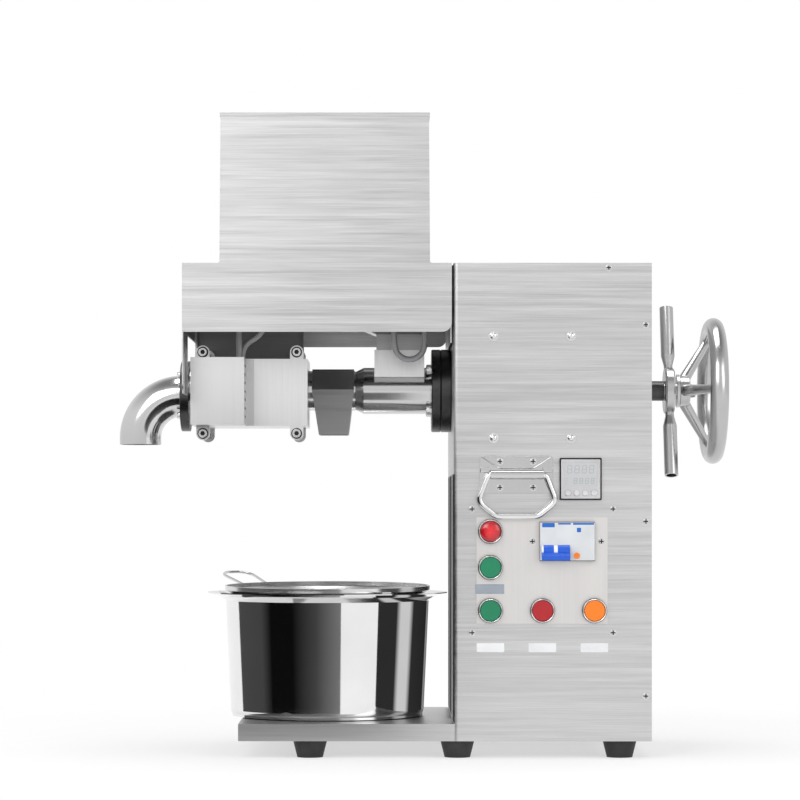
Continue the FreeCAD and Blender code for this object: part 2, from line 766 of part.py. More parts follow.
def gearbox():
    upper = box("case_upper", (CASE_LEFT, "-case_half_depth", f"{AXIS} - case_half_depth"),
                (COVER_START, "case_half_depth", f"{AXIS} + case_half_depth"))
    lower = box("case_lower", (WELL_LEFT, f"-{WELL_HALF} - case_wall", f"{WELL_BOTTOM} - case_wall"),
                (COVER_START, f"{WELL_HALF} + case_wall", f"{AXIS} - case_half_depth + {EDGE}"))
    nose = cylinder("case_nose", "X", (IN_LEFT, 0, AXIS), "case_start - sheet_gauge + 2",
                    "nose_housing_radius")
    casting = fuse("case_casting", upper, lower, nose)
    soft = rounded("case_soft", casting, "case_wall",
                   along(V(1, 0, 0), lambda at: abs(at.y) > value("case_half_depth") - EDGE))
    room = box("case_room", (f"{CASE_LEFT} + case_wall", "-case_half_depth + case_wall",
                             f"{AXIS} - case_half_depth + case_wall"),
               (f"{COVER_START} + {EDGE}", "case_half_depth - case_wall",
                f"{AXIS} + case_half_depth - case_wall"))
    well = box("case_well", (f"{WELL_LEFT} + case_wall", f"-{WELL_HALF}", WELL_BOTTOM),
               (f"{COVER_START} + {EDGE}", WELL_HALF, f"{AXIS} - case_half_depth + case_wall + {EDGE}"))
    seat = cylinder("case_seat", "X", (BEARING_LEFT, 0, AXIS), "bearing_width", "bearing_radius")
    bore = cylinder("case_bore", "X", (f"{IN_LEFT} - {EDGE}", 0, AXIS), "case_start + case_wall + 2",
                    "sleeve_radius + 2")
    lay = cylinder("case_lay_seat", "X", (f"{WELL_LEFT} - {EDGE}", 0, LAY_Z),
                   f"case_wall + 2 * {EDGE}", "small_bearing_radius")
    motor = cylinder("case_motor_hole", "X", (f"{WELL_LEFT} - {EDGE}", 0, MOTOR_Z),
                     f"case_wall + 2 * {EDGE}", "layshaft_radius + 4")
    posts, heads = [], []
    for i, (x, z) in enumerate(BOLT_SPOTS):
        post = cylinder(f"post_{i}", "Y", (x, IN_FRONT, z), f"-case_half_depth - {IN_FRONT} + 1",
                        "post_radius")
        posts += [post, mirrored(f"post_back_{i}", post)]
        head = cylinder(f"case_bolt_{i}", "Y", (x, f"{FRONT} - case_bolt_head", z), "case_bolt_head",
                        "case_bolt_radius")
        heads += [head, mirrored(f"case_bolt_back_{i}", head)]
    hollow = cut("case_hollow", soft, room, well, seat, bore, lay, motor)
    node(fuse("gearbox_housing", hollow, *posts), "gearbox_housing")

    high = box("lid_upper", (COVER_START, "-case_half_depth", f"{AXIS} - case_half_depth"),
               (f"{COVER_START} + case_wall", "case_half_depth", f"{AXIS} + case_half_depth"))
    low = box("lid_lower", (COVER_START, f"-{WELL_HALF} - case_wall", f"{WELL_BOTTOM} - case_wall"),
              (f"{COVER_START} + case_wall", f"{WELL_HALF} + case_wall",
               f"{AXIS} - case_half_depth + {EDGE}"))
    flat = rounded("lid_soft", fuse("lid_flat", high, low), "case_wall",
                   along(V(1, 0, 0), lambda at: abs(at.y) > value("case_half_depth") - EDGE))
    boss = cylinder("lid_boss", "X", (f"{BEARING_RIGHT} - 1", 0, AXIS), "bearing_width - case_wall + 2",
                    "bearing_radius + 7")
    cup = cylinder("lid_seat", "X", (f"{BEARING_RIGHT} - 2", 0, AXIS), "bearing_width + 3",
                   "bearing_radius")
    lay_hole = cylinder("lid_lay_seat", "X", (f"{COVER_START} - {EDGE}", 0, LAY_Z),
                        f"case_wall + 2 * {EDGE}", "small_bearing_radius")
    node(cut("gearbox_cover", fuse("lid_body", flat, boss), cup, lay_hole), "gearbox_cover")

    rings = []
    for tag, x, z, width, outer, inner in (
            ("left", BEARING_LEFT, AXIS, "bearing_width", "bearing_radius", "sleeve_radius"),
            ("right", BEARING_RIGHT, AXIS, "bearing_width", "bearing_radius", "sleeve_radius"),
            ("lay_left", WELL_LEFT, LAY_Z, "case_wall", "small_bearing_radius", "layshaft_radius"),
            ("lay_right", COVER_START, LAY_Z, "case_wall", "small_bearing_radius", "layshaft_radius")):
        ring = lathe(f"bearing_{tag}", "X", (x, 0, z),
                     [(f"{inner} + running_clearance", "0"), (outer, "0"), (outer, width),
                      (f"{inner} + running_clearance", width)])
        rings.append(ring)
    node(group("shaft_bearings", rings), "shaft_bearings")
    return heads


def gears():
    sleeve_end = f"({COVER_START} + case_wall + 1)"
    gear_turn = -math.pi / 2
    backlash = value("tooth_backlash")
    length = value(f"{sleeve_end} - {SLEEVE_START}")
    start = V(value(SLEEVE_START), 0, value(AXIS))
    along_x = V(1, 0, 0)
    shaft = Part.makeCylinder(value("sleeve_radius"), length, start, along_x)
    wheel = gear_shape(value("output_module"), value("output_teeth"), value("output_width"),
                       backlash, gear_turn)
    wheel.translate(V(value(OUTPUT_GEAR_X), 0, value(AXIS)))
    drive = hexagon(value("drive_flats + 2 * fit_clearance"), value("drive_length"))
    drive.translate(start - along_x)
    bore = Part.makeCylinder(value("sleeve_bore"), length, start + along_x * value("bore_start"),
                             along_x)
    node(made("output_gear", shaft.fuse(wheel).cut(drive).cut(bore)), "output_gear")

    lay_start = V(value(f"{WELL_LEFT} + 1"), 0, value(LAY_Z))
    shaft = Part.makeCylinder(value("layshaft_radius"), value(f"{COVER_START} + case_wall - 1")
                              - lay_start.x, lay_start, along_x)
    teeth = value("output_pinion_teeth")
    pinion = gear_shape(value("output_module"), teeth, value("output_width"), backlash,
                        math.pi / 2 + math.pi / teeth)
    pinion.translate(V(value(OUTPUT_GEAR_X), 0, lay_start.z))
    big = gear_shape(value("input_module"), value("input_teeth"), value("input_width"),
                     backlash, gear_turn)
    big.translate(V(value(INPUT_GEAR_X), 0, lay_start.z))
    node(made("layshaft", shaft.fuse([pinion, big])), "layshaft")


MOTOR_START = f"({WELL_LEFT} - motor_length)"
FAN_START = f"({MOTOR_START} - 2 - fan_width)"


def motor():
    shell = lathe("motor_shell", "X", (MOTOR_START, 0, MOTOR_Z), [
        ("layshaft_radius + 1", "0"), ("motor_radius", "0"), ("motor_radius", "motor_length"),
        ("layshaft_radius + 1", "motor_length"), ("layshaft_radius + 1", "motor_length - motor_wall"),
        ("rotor_radius + rotor_gap", "motor_length - motor_wall"),
        ("rotor_radius + rotor_gap", "motor_wall"), ("layshaft_radius + 1", "motor_wall")])
    fins = []
    for i in range(int(value("motor_fins"))):
        fin = doc.addObject("Part::Box", f"motor_fin_{i}")
        bind(fin, Length="motor_length - 16", Width=3, Height="motor_fin + 1")
        angle = 360.0 * i / int(value("motor_fins"))
        turn = FreeCAD.Rotation(V(1, 0, 0), angle)
        up = "(motor_radius - 1)"
        lean = (f"cos({angle})", f"sin({angle})")
        place(fin, f"{MOTOR_START} + 4", f"-1.5 * {lean[0]} - {up} * {lean[1]}",
              f"{MOTOR_Z} - 1.5 * {lean[1]} + {up} * {lean[0]}", turn)
        fins.append(fin)
    foot = box("motor_face", (f"{WELL_LEFT} - 8", "-motor_radius + 6", f"{MOTOR_Z} - motor_radius + 6"),
               (WELL_LEFT, "motor_radius - 6", f"{MOTOR_Z} + motor_radius - 6"))
    hole = cylinder("motor_face_hole", "X", (f"{WELL_LEFT} - 9", 0, MOTOR_Z), "10", "layshaft_radius + 1")
    node(fuse("motor_stator", shell, *fins, cut("motor_face_ring", foot, hole)), "motor_stator")

    along_x = V(1, 0, 0)
    start = V(value(FAN_START), 0, value(MOTOR_Z))
    end = value(INPUT_GEAR_X) + value("input_width") + 1
    shaft = Part.makeCylinder(value("layshaft_radius"), end - start.x - value("input_width") - 1,
                              start, along_x)
    teeth = value("motor_pinion_teeth")
    pinion = gear_shape(value("input_module"), teeth, value("input_width") + 1,
                        value("tooth_backlash"), math.pi / 2 + math.pi / teeth)
    pinion.translate(V(value(INPUT_GEAR_X), 0, start.z))
    core_start = V(value(f"{MOTOR_START} + motor_wall + 8"), 0, start.z)
    core = Part.makeCylinder(value("rotor_radius"), value("motor_length - 2 * motor_wall - 16"),
                             core_start, along_x)
    hub = Part.makeCylinder(value("layshaft_radius") + 6, value("fan_width"), start, along_x)
    blades = []
    for i in range(int(value("fan_blades"))):
        blade = Part.makeBox(value("fan_width"), 2.5, value("fan_radius - layshaft_radius") - 4,
                             start + V(0, -1.25, value("layshaft_radius") + 4))
        blade.rotate(start, along_x, 360.0 * i / int(value("fan_blades")))
        blades.append(blade)
    node(made("motor_rotor", shaft.fuse([pinion, core, hub] + blades)), "motor_rotor")


# ---------------------------------------------------------------- press line

def press_line():
    pieces = []
    for tag, x, width in (("inner", f"{LEFT} - inner_flange", "inner_flange"),
                          ("outer", FLANGE_START, "outer_flange")):
        pieces.append(lathe(f"flange_{tag}", "X", (x, 0, AXIS), [
            ("press_core_radius + 1", "0"), ("flange_radius - 1", "0"), ("flange_radius", "1"),
            ("flange_radius", f"{width} - 1"), ("flange_radius - 1", width),
            ("press_core_radius + 1", width)]))
    pieces.append(lathe("flange_elbow", "X", (ELBOW_START, 0, f"{AXIS} - elbow_drop"), [
        ("elbow_radius", "0"), ("elbow_flange_radius - 1", "0"), ("elbow_flange_radius", "1"),
        ("elbow_flange_radius", "elbow_flange"), ("elbow_radius", "elbow_flange")]))
    node(group("press_flanges", pieces), "press_flanges")

    barrel = lathe("barrel_turned", "X", (BARREL_END, 0, AXIS), [
        ("bore_radius", "0"), ("barrel_radius - barrel_chamfer / 2", "0"),
        ("barrel_radius", "barrel_chamfer"), ("barrel_radius", "barrel_length"),
        ("bore_radius", "barrel_length")])
    mouth = box("barrel_mouth",
                (f"{FLANGE_START} - throat_inset - throat_length + throat_wall + 3",
                 "-throat_hole_half", AXIS),
                (f"{FLANGE_START} - throat_inset - throat_wall - 3", "throat_hole_half",
                 f"{AXIS} + barrel_radius + {EDGE}"))
    node(cut("feed_barrel", barrel, mouth), "feed_barrel")

    throat_right = f"({FLANGE_START} - throat_inset)"
    throat_left = f"({throat_right} - throat_length)"
    block = box("throat_block", (throat_left, "-throat_half_width", f"{AXIS} + throat_bottom"),
                (throat_right, "throat_half_width", f"{AXIS} + throat_top"))
    hole = box("throat_hole", (f"{throat_left} + throat_wall", "-throat_half_width + throat_wall + 6",
                               AXIS),
               (f"{throat_right} - throat_wall", "throat_half_width - throat_wall - 6",
                f"{AXIS} + throat_top + {EDGE}"))
    saddle = cylinder("throat_saddle", "X", (f"{throat_left} - {EDGE}", 0, AXIS),
                      f"throat_length + 2 * {EDGE}", "barrel_radius")
    node(cut("feed_throat", block, hole, saddle), "feed_throat")

    cage = lathe("cage_turned", "X", (CAGE_END, 0, AXIS), [
        ("bore_radius", "0"), ("cage_radius", "0"), ("cage_radius", "cage_length"),
        ("bore_radius", "cage_length")])
    slots = []
    for i in range(int(value("cage_slots"))):
        angle = 360.0 * (i + 0.5) / int(value("cage_slots"))
        slot = doc.addObject("Part::Box", f"cage_slot_{i}")
        bind(slot, Length="cage_slot_length", Width="cage_slot_width",
             Height=f"cage_radius - bore_radius + 2 * {EDGE}")
        radius = f"(bore_radius - {EDGE})"
        place(slot, f"{CAGE_END} + cage_slot_inset",
              f"-cage_slot_width / 2 * cos({angle}) - {radius} * sin({angle})",
              f"{AXIS} - cage_slot_width / 2 * sin({angle}) + {radius} * cos({angle})",
              FreeCAD.Rotation(V(1, 0, 0), angle))
        slots.append(slot)
    node(cut("press_cage", cage, *slots), "press_cage")

    node(lathe("press_head", "X", (HEAD_END, 0, AXIS), [
        ("outlet_radius", "0"), ("head_radius", "0"), ("head_radius", "head_length"),
        ("bore_radius", "head_length"), ("bore_radius", "outlet_length"),
        ("outlet_radius", "outlet_length")]), "press_head")


def press_screw():
    """A turned core with one helical flight, its root deepest under the throat."""
    reach = value("bore_radius - flight_clearance")
    feed = value("feed_core_radius")
    press = value("press_core_radius")
    nose_at = value(f"{HEAD_END} + outlet_length + tip_gap")
    cage_at = value(CAGE_END)
    barrel_at = value(BARREL_END)
    flange_at = value(FLANGE_START)
    tail_end = value(f"{CUP_START} - 1")
    boss_end = value(f"{CUP_START} + cup_recess - seat_gap")
    height = value(AXIS)
    profile = [(0, nose_at - value("nose_length")), (value("nose_radius"), nose_at - value("nose_length")),
               (press, nose_at), (press, nose_at + 25), (feed + 2, cage_at), (feed, barrel_at),
               (feed, flange_at - 12), (press, flange_at - 2), (press, value(SLEEVE_START) - 6),
               (value("spindle_radius"), value(SLEEVE_START) - 6),
               (value("spindle_radius"), boss_end), (0, boss_end)]
    corners = [V(x, 0, height + radius) for radius, x in profile]
    axis_start = V(0, 0, height)
    core = Part.Face(Part.makePolygon(corners + corners[:1])).revolve(axis_start, V(1, 0, 0), 360)
    tail = hexagon(value("drive_flats"), tail_end - value(SLEEVE_START) + 8)
    tail.translate(V(value(SLEEVE_START) - 8, 0, height))

    steps_per_turn = 14
    pitch = value("flight_pitch")
    start = nose_at + 4
    turns = (flange_at - 8 - start) / pitch
    count = int(turns * steps_per_turn)
    inner = feed - 3
    root = value("flight_root_width") / 2
    tip = value("flight_tip_width") / 2
    rings = []
    for i in range(count + 1):
        angle = 2 * math.pi * i / steps_per_turn
        x = start + pitch * i / steps_per_turn
        rings.append([V(x + shift, radius * math.cos(angle), height + radius * math.sin(angle))
                      for radius, shift in ((inner, -root), (reach, -tip), (reach, tip), (inner, root))])
    faces = []
    for before, after in zip(rings, rings[1:]):
        for j in range(4):
            a, b = before[j], before[(j + 1) % 4]
            c, d = after[(j + 1) % 4], after[j]
            faces.append(Part.Face(Part.makePolygon([a, b, c, a])))
            faces.append(Part.Face(Part.makePolygon([a, c, d, a])))
    for ring in (rings[0], rings[-1]):
        faces.append(Part.Face(Part.makePolygon([ring[0], ring[1], ring[2], ring[0]])))
        faces.append(Part.Face(Part.makePolygon([ring[0], ring[2], ring[3], ring[0]])))
    flight = Part.Solid(Part.Shell(faces))
    if flight.Volume < 0:
        flight.reverse()
    node(made("press_screw", core.fuse([tail, flight])), "press_screw")


def oil_chute():
    """A folded sheet cover: a ridged roof over the cage and a tapered spout below."""
    left = f"({BARREL_END} - chute_start - chute_length)"
    right = f"({BARREL_END} - chute_start)"
    bottom = f"({AXIS} - chute_drop)"

    def solid(tag, wall):
        funnel = wedge(f"chute_funnel_{tag}",
                       (f"{left} + chute_taper + {wall}", f"{right} - chute_taper_right - {wall}",
                        f"chute_outlet_half - {wall}"),
                       (f"{left} + {wall}", f"{right} - {wall}", f"chute_half_width - {wall}"),
                       f"{bottom} - ({wall}) / 2", AXIS)
        roof = plate(f"chute_roof_{tag}", "X", (f"{left} + {wall}", 0, AXIS),
                     [(f"-chute_half_width + {wall} * 1.4", "0"),
                      (f"chute_half_width - {wall} * 1.4", "0"),
                      (f"chute_ridge_half - {wall} * 0.5", f"chute_ridge - {wall}"),
                      (f"-chute_ridge_half + {wall} * 0.5", f"chute_ridge - {wall}")],
                     f"chute_length - 2 * {wall}")
        return fuse(f"chute_{tag}", funnel, roof)

    outer = solid("outer", "0")
    inner = solid("inner", "sheet_gauge")
    cage_hole = cylinder("chute_cage_hole", "X", (f"{left} - {EDGE}", 0, AXIS),
                         f"chute_length + 2 * {EDGE}", "cage_radius")
    node(cut("oil_chute", outer, inner, cage_hole), "oil_chute")


def heated_head():
    length = f"({CAGE_END} - {HEATER_END})"
    lugs_x = (f"{HEATER_END} + lug_inset", f"{CAGE_END} - lug_inset")
    lugs_z = (f"{AXIS} + lug_above", f"{AXIS} - lug_below")
    block = box("heater_block", (HEATER_END, "-heater_half_depth", f"{AXIS} - heater_below"),
                (CAGE_END, "-heater_split", f"{AXIS} + heater_above"))
    lugs, holes, bolts = [], [], []
    for i, x in enumerate(lugs_x):
        for j, z in enumerate(lugs_z):
            lug = cylinder(f"lug_{i}{j}", "Y", (x, "-heater_half_depth", z), "lug_thickness",
                           "lug_radius")
            web_low, web_high = ((z, f"{AXIS} - heater_below + {EDGE}") if j else
                                 (f"{AXIS} + heater_above - {EDGE}", z))
            web = box(f"lug_web_{i}{j}", (f"{x} - lug_radius", "-heater_half_depth", web_low),
                      (f"{x} + lug_radius", "-heater_half_depth + lug_thickness", web_high))
            lugs += [lug, web]
            holes.append(cylinder(f"lug_hole_{i}{j}", "Y", (x, f"-heater_half_depth - {EDGE}", z),
                                  f"lug_thickness + 2 * {EDGE}", "tie_radius"))
            rod = cylinder(f"tie_rod_{i}{j}", "Y", (x, "-heater_half_depth - tie_head / 2", z),
                           "2 * heater_half_depth + tie_head + sheet_gauge", "tie_radius")
            front = cylinder(f"tie_head_{i}{j}", "Y", (x, "-heater_half_depth - tie_head", z),
                             "tie_head", "tie_head_radius")
            seat = "heater_half_depth" if j else "heater_half_depth + sheet_gauge"
            rear = cylinder(f"tie_nut_{i}{j}", "Y", (x, seat, z), "tie_head", "tie_head_radius")
            bolts.append(fuse(f"tie_bolt_{i}{j}", rod, front, rear))
    bore = cylinder("heater_bore", "X", (f"{HEATER_END} - {EDGE}", 0, AXIS),
                    f"{length} + 2 * {EDGE}", "head_radius")
    cartridges = []
    for i, z in enumerate((f"{AXIS} + cartridge_height", f"{AXIS} - cartridge_height - 4")):
        holes.append(cylinder(f"cartridge_hole_{i}", "X",
                              (f"{HEATER_END} - {EDGE}", "-cartridge_offset", z),
                              f"cartridge_length + {EDGE}", "cartridge_radius"))
        rod = cylinder(f"cartridge_{i}", "X", (HEATER_END, "-cartridge_offset", z),
                       "cartridge_length", "cartridge_radius")
        cartridges += [rod, mirrored(f"cartridge_back_{i}", rod)]
    front = cut("heater_front", fuse("heater_lugged", block, *lugs), bore, *holes)
    node(group("heater_blocks", [front, mirrored("heater_back", front)]), "heater_blocks")
    node(group("cartridge_heaters", cartridges), "cartridge_heaters")
    node(group("heater_tie_bolts", bolts), "heater_tie_bolts")

    left = f"({HEATER_END} + terminal_inset)"
    right = f"({left} + terminal_length)"
    front_y = "(-heater_half_depth - terminal_depth)"
    low_z, high_z = f"({AXIS} - heater_below)", f"({AXIS} + heater_above - 1)"
    shell = box("terminal_shell", (left, front_y, low_z), (right, "-heater_half_depth", high_z))
    room = box("terminal_room", (f"{left} + terminal_gauge", f"{front_y} + terminal_gauge",
                                 f"{low_z} + terminal_gauge"),
               (f"{right} - terminal_gauge", f"-heater_half_depth + {EDGE}",
                f"{high_z} - terminal_gauge"))
    louvres = []
    for i in range(int(value("louvre_count"))):
        z = f"{low_z} + 8 + louvre_pitch * {i}"
        louvres.append(box(f"louvre_{i}", (f"{right} - terminal_gauge - {EDGE}",
                                           f"{front_y} + 12", z),
                           (f"{right} + {EDGE}", f"{front_y} + 12 + louvre_length",
                            f"{z} + louvre_width")))
    strip = box("terminal_strip", (f"{right} - terminal_gauge",
                                   "-heater_half_depth - terminal_gauge", low_z),
                (f"{right} + terminal_flange", "-heater_half_depth", high_z))
    node(fuse("terminal_box", cut("terminal_open", shell, room, *louvres), strip), "terminal_box")


def elbow():
    start_z = f"{AXIS} - elbow_drop"

    def bend(tag, radius):
        ring = doc.addObject("Part::Torus", f"elbow_bend_{tag}")
        bind(ring, Radius1="elbow_bend", Radius2=radius)
        ring.Angle3 = 90.0
        turn = FreeCAD.Rotation(V(1, 0, 0), 90)
        turn = turn.multiply(FreeCAD.Rotation(V(0, 0, 1), 90))
        place(ring, f"{ELBOW_START} + 0", 0, f"{start_z} - elbow_bend", turn)
        inlet = cylinder(f"elbow_inlet_{tag}", "X", (ELBOW_START, 0, start_z),
                         "elbow_flange", radius)
        spout = cylinder(f"elbow_spout_{tag}", "Z",
                         (f"{ELBOW_START} - elbow_bend", 0, f"{start_z} - elbow_bend - elbow_spout"),
                         "elbow_spout", radius)
        return fuse(f"elbow_{tag}", ring, inlet, spout)

    node(cut("cake_elbow", bend("outer", "elbow_radius"), bend("inner", "elbow_radius - elbow_wall")),
         "cake_elbow")


def hex_bolts(heads):
    bolts = list(heads)
    for i in range(4):
        angle = 45 + 90 * i
        for tag, x, z, circle, radius, length in (
                ("flange", FLANGE_START, AXIS, "flange_bolt_circle", "flange_bolt_radius",
                 "flange_bolt_head"),
                ("elbow", ELBOW_START, f"{AXIS} - elbow_drop", "elbow_bolt_circle",
                 "elbow_bolt_radius", "elbow_bolt_head")):
            head = doc.addObject("Part::Prism", f"{tag}_bolt_{i}")
            head.Polygon = 6
            bind(head, Circumradius=radius, Height=length)
            place(head, f"{x} - {length}", f"{circle} * cos({angle})", f"{z} + {circle} * sin({angle})",
                  TURN_TO["X"])
            bolts.append(head)
    node(group("hex_bolts", bolts), "hex_bolts")


# ---------------------------------------------------------------- hood and hopper

HOPPER_LEFT = f"({HOOD_LEFT} + hopper_left_inset)"
HOPPER_RIGHT = f"({LEFT} - hopper_right_inset)"
HOPPER_BASE = f"({TOP} + hopper_rest_gap + gasket_height)"
SPOUT_LEFT = f"({FLANGE_START} - throat_inset - throat_length + 2.3)"
SPOUT_RIGHT = f"({FLANGE_START} - throat_inset - 2.6)"


def hood():
    low = (HOOD_LEFT, FRONT, HOOD_BOTTOM)
    high = (HOOD_RIGHT, BACK, TOP)
    block = box("hood_block", low, high)
    corner = rounded("hood_rounded", block, "hood_corner",
                     along(V(0, 1, 0), lambda at: at.x > value(HOOD_LEFT) + EDGE
                           and at.z < value(TOP) - EDGE))
    inside = box("hood_inside", [f"{a} + sheet_gauge" for a in low[:2]] + [f"{low[2]} - {EDGE}"],
                 [f"{b} - sheet_gauge" for b in high])
    opening = box("hood_opening",
                  (f"{HOPPER_LEFT} + hopper_seat - 2", "-hopper_half_depth + hopper_seat - 2",
                   f"{IN_TOP} - {EDGE}"),
                  (f"{HOPPER_RIGHT} - hopper_seat + 2", "hopper_half_depth - hopper_seat + 2",
                   f"{TOP} + {EDGE}"))
    leg = "hood_guard_leg"
    guard = plate("hood_guard", "X", (HOOD_LEFT, 0, 0), [
        (FRONT, f"{HOOD_BOTTOM} + {EDGE}"), (FRONT, f"{HOOD_BOTTOM} - hood_guard_drop"),
        (f"{FRONT} + {leg}", f"{HOOD_BOTTOM} - hood_guard_drop"), (f"{FRONT} + {leg}", HOOD_BOTTOM),
        (f"{BACK} - {leg}", HOOD_BOTTOM), (f"{BACK} - {leg}", f"{HOOD_BOTTOM} - hood_guard_drop"),
        (BACK, f"{HOOD_BOTTOM} - hood_guard_drop"), (BACK, f"{HOOD_BOTTOM} + {EDGE}")],
        "sheet_gauge")
    soft = rounded("hood_guard_soft", guard, "hood_corner",
                   along(V(1, 0, 0), lambda at: at.z < value(HOOD_BOTTOM) - 2 * EDGE))
    wall = box("hood_right_wall", (f"{HOOD_RIGHT} - sheet_gauge", f"{FRONT} + hood_corner",
                                   f"{HOOD_BOTTOM} - hood_right_drop"),
               (HOOD_RIGHT, f"{BACK} - hood_corner", f"{HOOD_BOTTOM} + hood_corner + {EDGE}"))
    notch = cylinder("hood_notch", "X", (f"{HOOD_RIGHT} - sheet_gauge - {EDGE}", 0, AXIS),
                     f"sheet_gauge + 2 * {EDGE}", "flange_radius + 2")
    shell = cut("hood_shell", corner, inside, opening)
    node(cut("hood", fuse("hood_whole", shell, soft, wall), notch), "hood")

    strip = box("seal_block", (HOOD_RIGHT, f"{FRONT} + hood_corner",
                               f"{HOOD_BOTTOM} - hood_right_drop"),
                (LEFT, f"{BACK} - hood_corner", f"{TOP} - 2"))
    gap = box("seal_window", (f"{HOOD_RIGHT} - {EDGE}", f"{FRONT} + hood_corner + 10",
                              f"{HOOD_BOTTOM} - hood_right_drop - {EDGE}"),
              (f"{LEFT} + {EDGE}", f"{BACK} - hood_corner - 10", f"{TOP} - 12"))
    node(cut("hood_seal", strip, gap), "hood_seal")

    left = f"({HEATER_END} - hanger_inset)"
    right = f"({left} + hanger_length)"
    low_z, high_z = f"({AXIS} - hanger_drop)", f"({AXIS} + hanger_rise)"
    y = "heater_half_depth"
    sheets = [box("hanger_web", (left, y, low_z), (right, f"{y} + sheet_gauge", high_z)),
              box("hanger_shelf", (left, y, f"{high_z} - sheet_gauge"), (right, IN_BACK, high_z)),
              box("hanger_lip", (left, f"{IN_BACK} - sheet_gauge", f"{high_z} - sheet_gauge"),
                  (right, IN_BACK, f"{high_z} + 16"))]
    for i, x in enumerate((left, f"{right} - sheet_gauge")):
        sheets.append(box(f"hanger_side_{i}", (x, f"{y} - hanger_flange",
                                               f"{AXIS} + lug_above + lug_radius + 2"),
                          (f"{x} + sheet_gauge", f"{y} + sheet_gauge", high_z)))
    holes = [cylinder(f"hanger_hole_{i}", "Y", (x, f"{y} - {EDGE}", f"{AXIS} + lug_above"),
                      f"sheet_gauge + 2 * {EDGE}", "tie_radius")
             for i, x in enumerate((f"{HEATER_END} + lug_inset", f"{CAGE_END} - lug_inset"))]
    node(cut("hanger_plate", fuse("hanger_sheets", *sheets), *holes), "hanger_plate")

    node(box("wiring_duct", (f"{HOOD_LEFT} + sheet_gauge", "-duct_front", f"{AXIS} + duct_bottom"),
             (f"{HOOD_RIGHT} - sheet_gauge", "-duct_back", f"{AXIS} + duct_bottom + duct_height")),
         "wiring_duct")


def hopper():
    wide, gauge = "hopper_taper", "hopper_gauge"
    top = f"({HOPPER_BASE} + hopper_height)"
    floor_z = f"({HOPPER_BASE} + {gauge})"

    def shell(tag, wall):
        return wedge(f"hopper_box_{tag}",
                     (f"{HOPPER_LEFT} - {wide} + {wall}", f"{HOPPER_RIGHT} + {wide} - {wall}",
                      f"hopper_half_depth + {wide} - {wall}"),
                     (f"{HOPPER_LEFT} + {wall}", f"{HOPPER_RIGHT} - {wall}",
                      f"hopper_half_depth - {wall}"),
                     HOPPER_BASE if tag == "outer" else floor_z,
                     top if tag == "outer" else f"{top} + 0.01")

    ledge = box("hopper_ledge",
                (f"{HOPPER_LEFT} - hopper_flange", "-hopper_half_depth - hopper_flange", HOPPER_BASE),
                (f"{HOPPER_RIGHT} + hopper_flange", "hopper_half_depth + hopper_flange", floor_z))
    hem = box("hopper_hem",
              (f"{HOPPER_LEFT} - 1", "-hopper_half_depth - 1", f"{top} - hopper_hem"),
              (f"{HOPPER_RIGHT} + 1", "hopper_half_depth + 1", top))
    neck_z = f"({AXIS} + spout_neck)"
    end_z = f"({AXIS} + spout_bottom)"

    def funnel(tag, wall):
        seat = f"(hopper_seat + {wall})"
        slope = wedge(f"funnel_{tag}",
                      (f"{SPOUT_LEFT} + {wall}", f"{SPOUT_RIGHT} - {wall}",
                       f"spout_half_width - {wall}"),
                      (f"{HOPPER_LEFT} + {seat}", f"{HOPPER_RIGHT} - {seat}",
                       f"hopper_half_depth - {seat}"),
                      neck_z, f"{floor_z} + 0.01" if tag == "inner" else floor_z)
        spout = box(f"spout_{tag}", (f"{SPOUT_LEFT} + {wall}", f"-spout_half_width + {wall}",
                                     f"{end_z} - {EDGE}" if tag == "inner" else end_z),
                    (f"{SPOUT_RIGHT} - {wall}", f"spout_half_width - {wall}", f"{neck_z} + 0.01"))
        return fuse(f"hopper_funnel_{tag}", slope, spout)

    outer = fuse("hopper_outer", shell("outer", "0"), ledge, hem, funnel("outer", "0"))
    node(cut("hopper", outer, shell("inner", gauge), funnel("inner", gauge)), "hopper")

    sides = ((HOPPER_LEFT, "-hopper_half_depth"), (HOPPER_RIGHT, "hopper_half_depth"))
    low_z = f"({TOP} + hopper_rest_gap)"
    strip = box("gasket_block", (f"{sides[0][0]} - 1", f"{sides[0][1]} - 1", low_z),
                (f"{sides[1][0]} + 1", f"{sides[1][1]} + 1", HOPPER_BASE))
    gap = box("gasket_window",
              (f"{sides[0][0]} + gasket_width", f"{sides[0][1]} + gasket_width", f"{low_z} - {EDGE}"),
              (f"{sides[1][0]} - gasket_width", f"{sides[1][1]} - gasket_width",
               f"{HOPPER_BASE} + {EDGE}"))
    node(cut("hopper_gasket", strip, gap, funnel("clear", "0")), "hopper_gasket")


# ---------------------------------------------------------------- controls

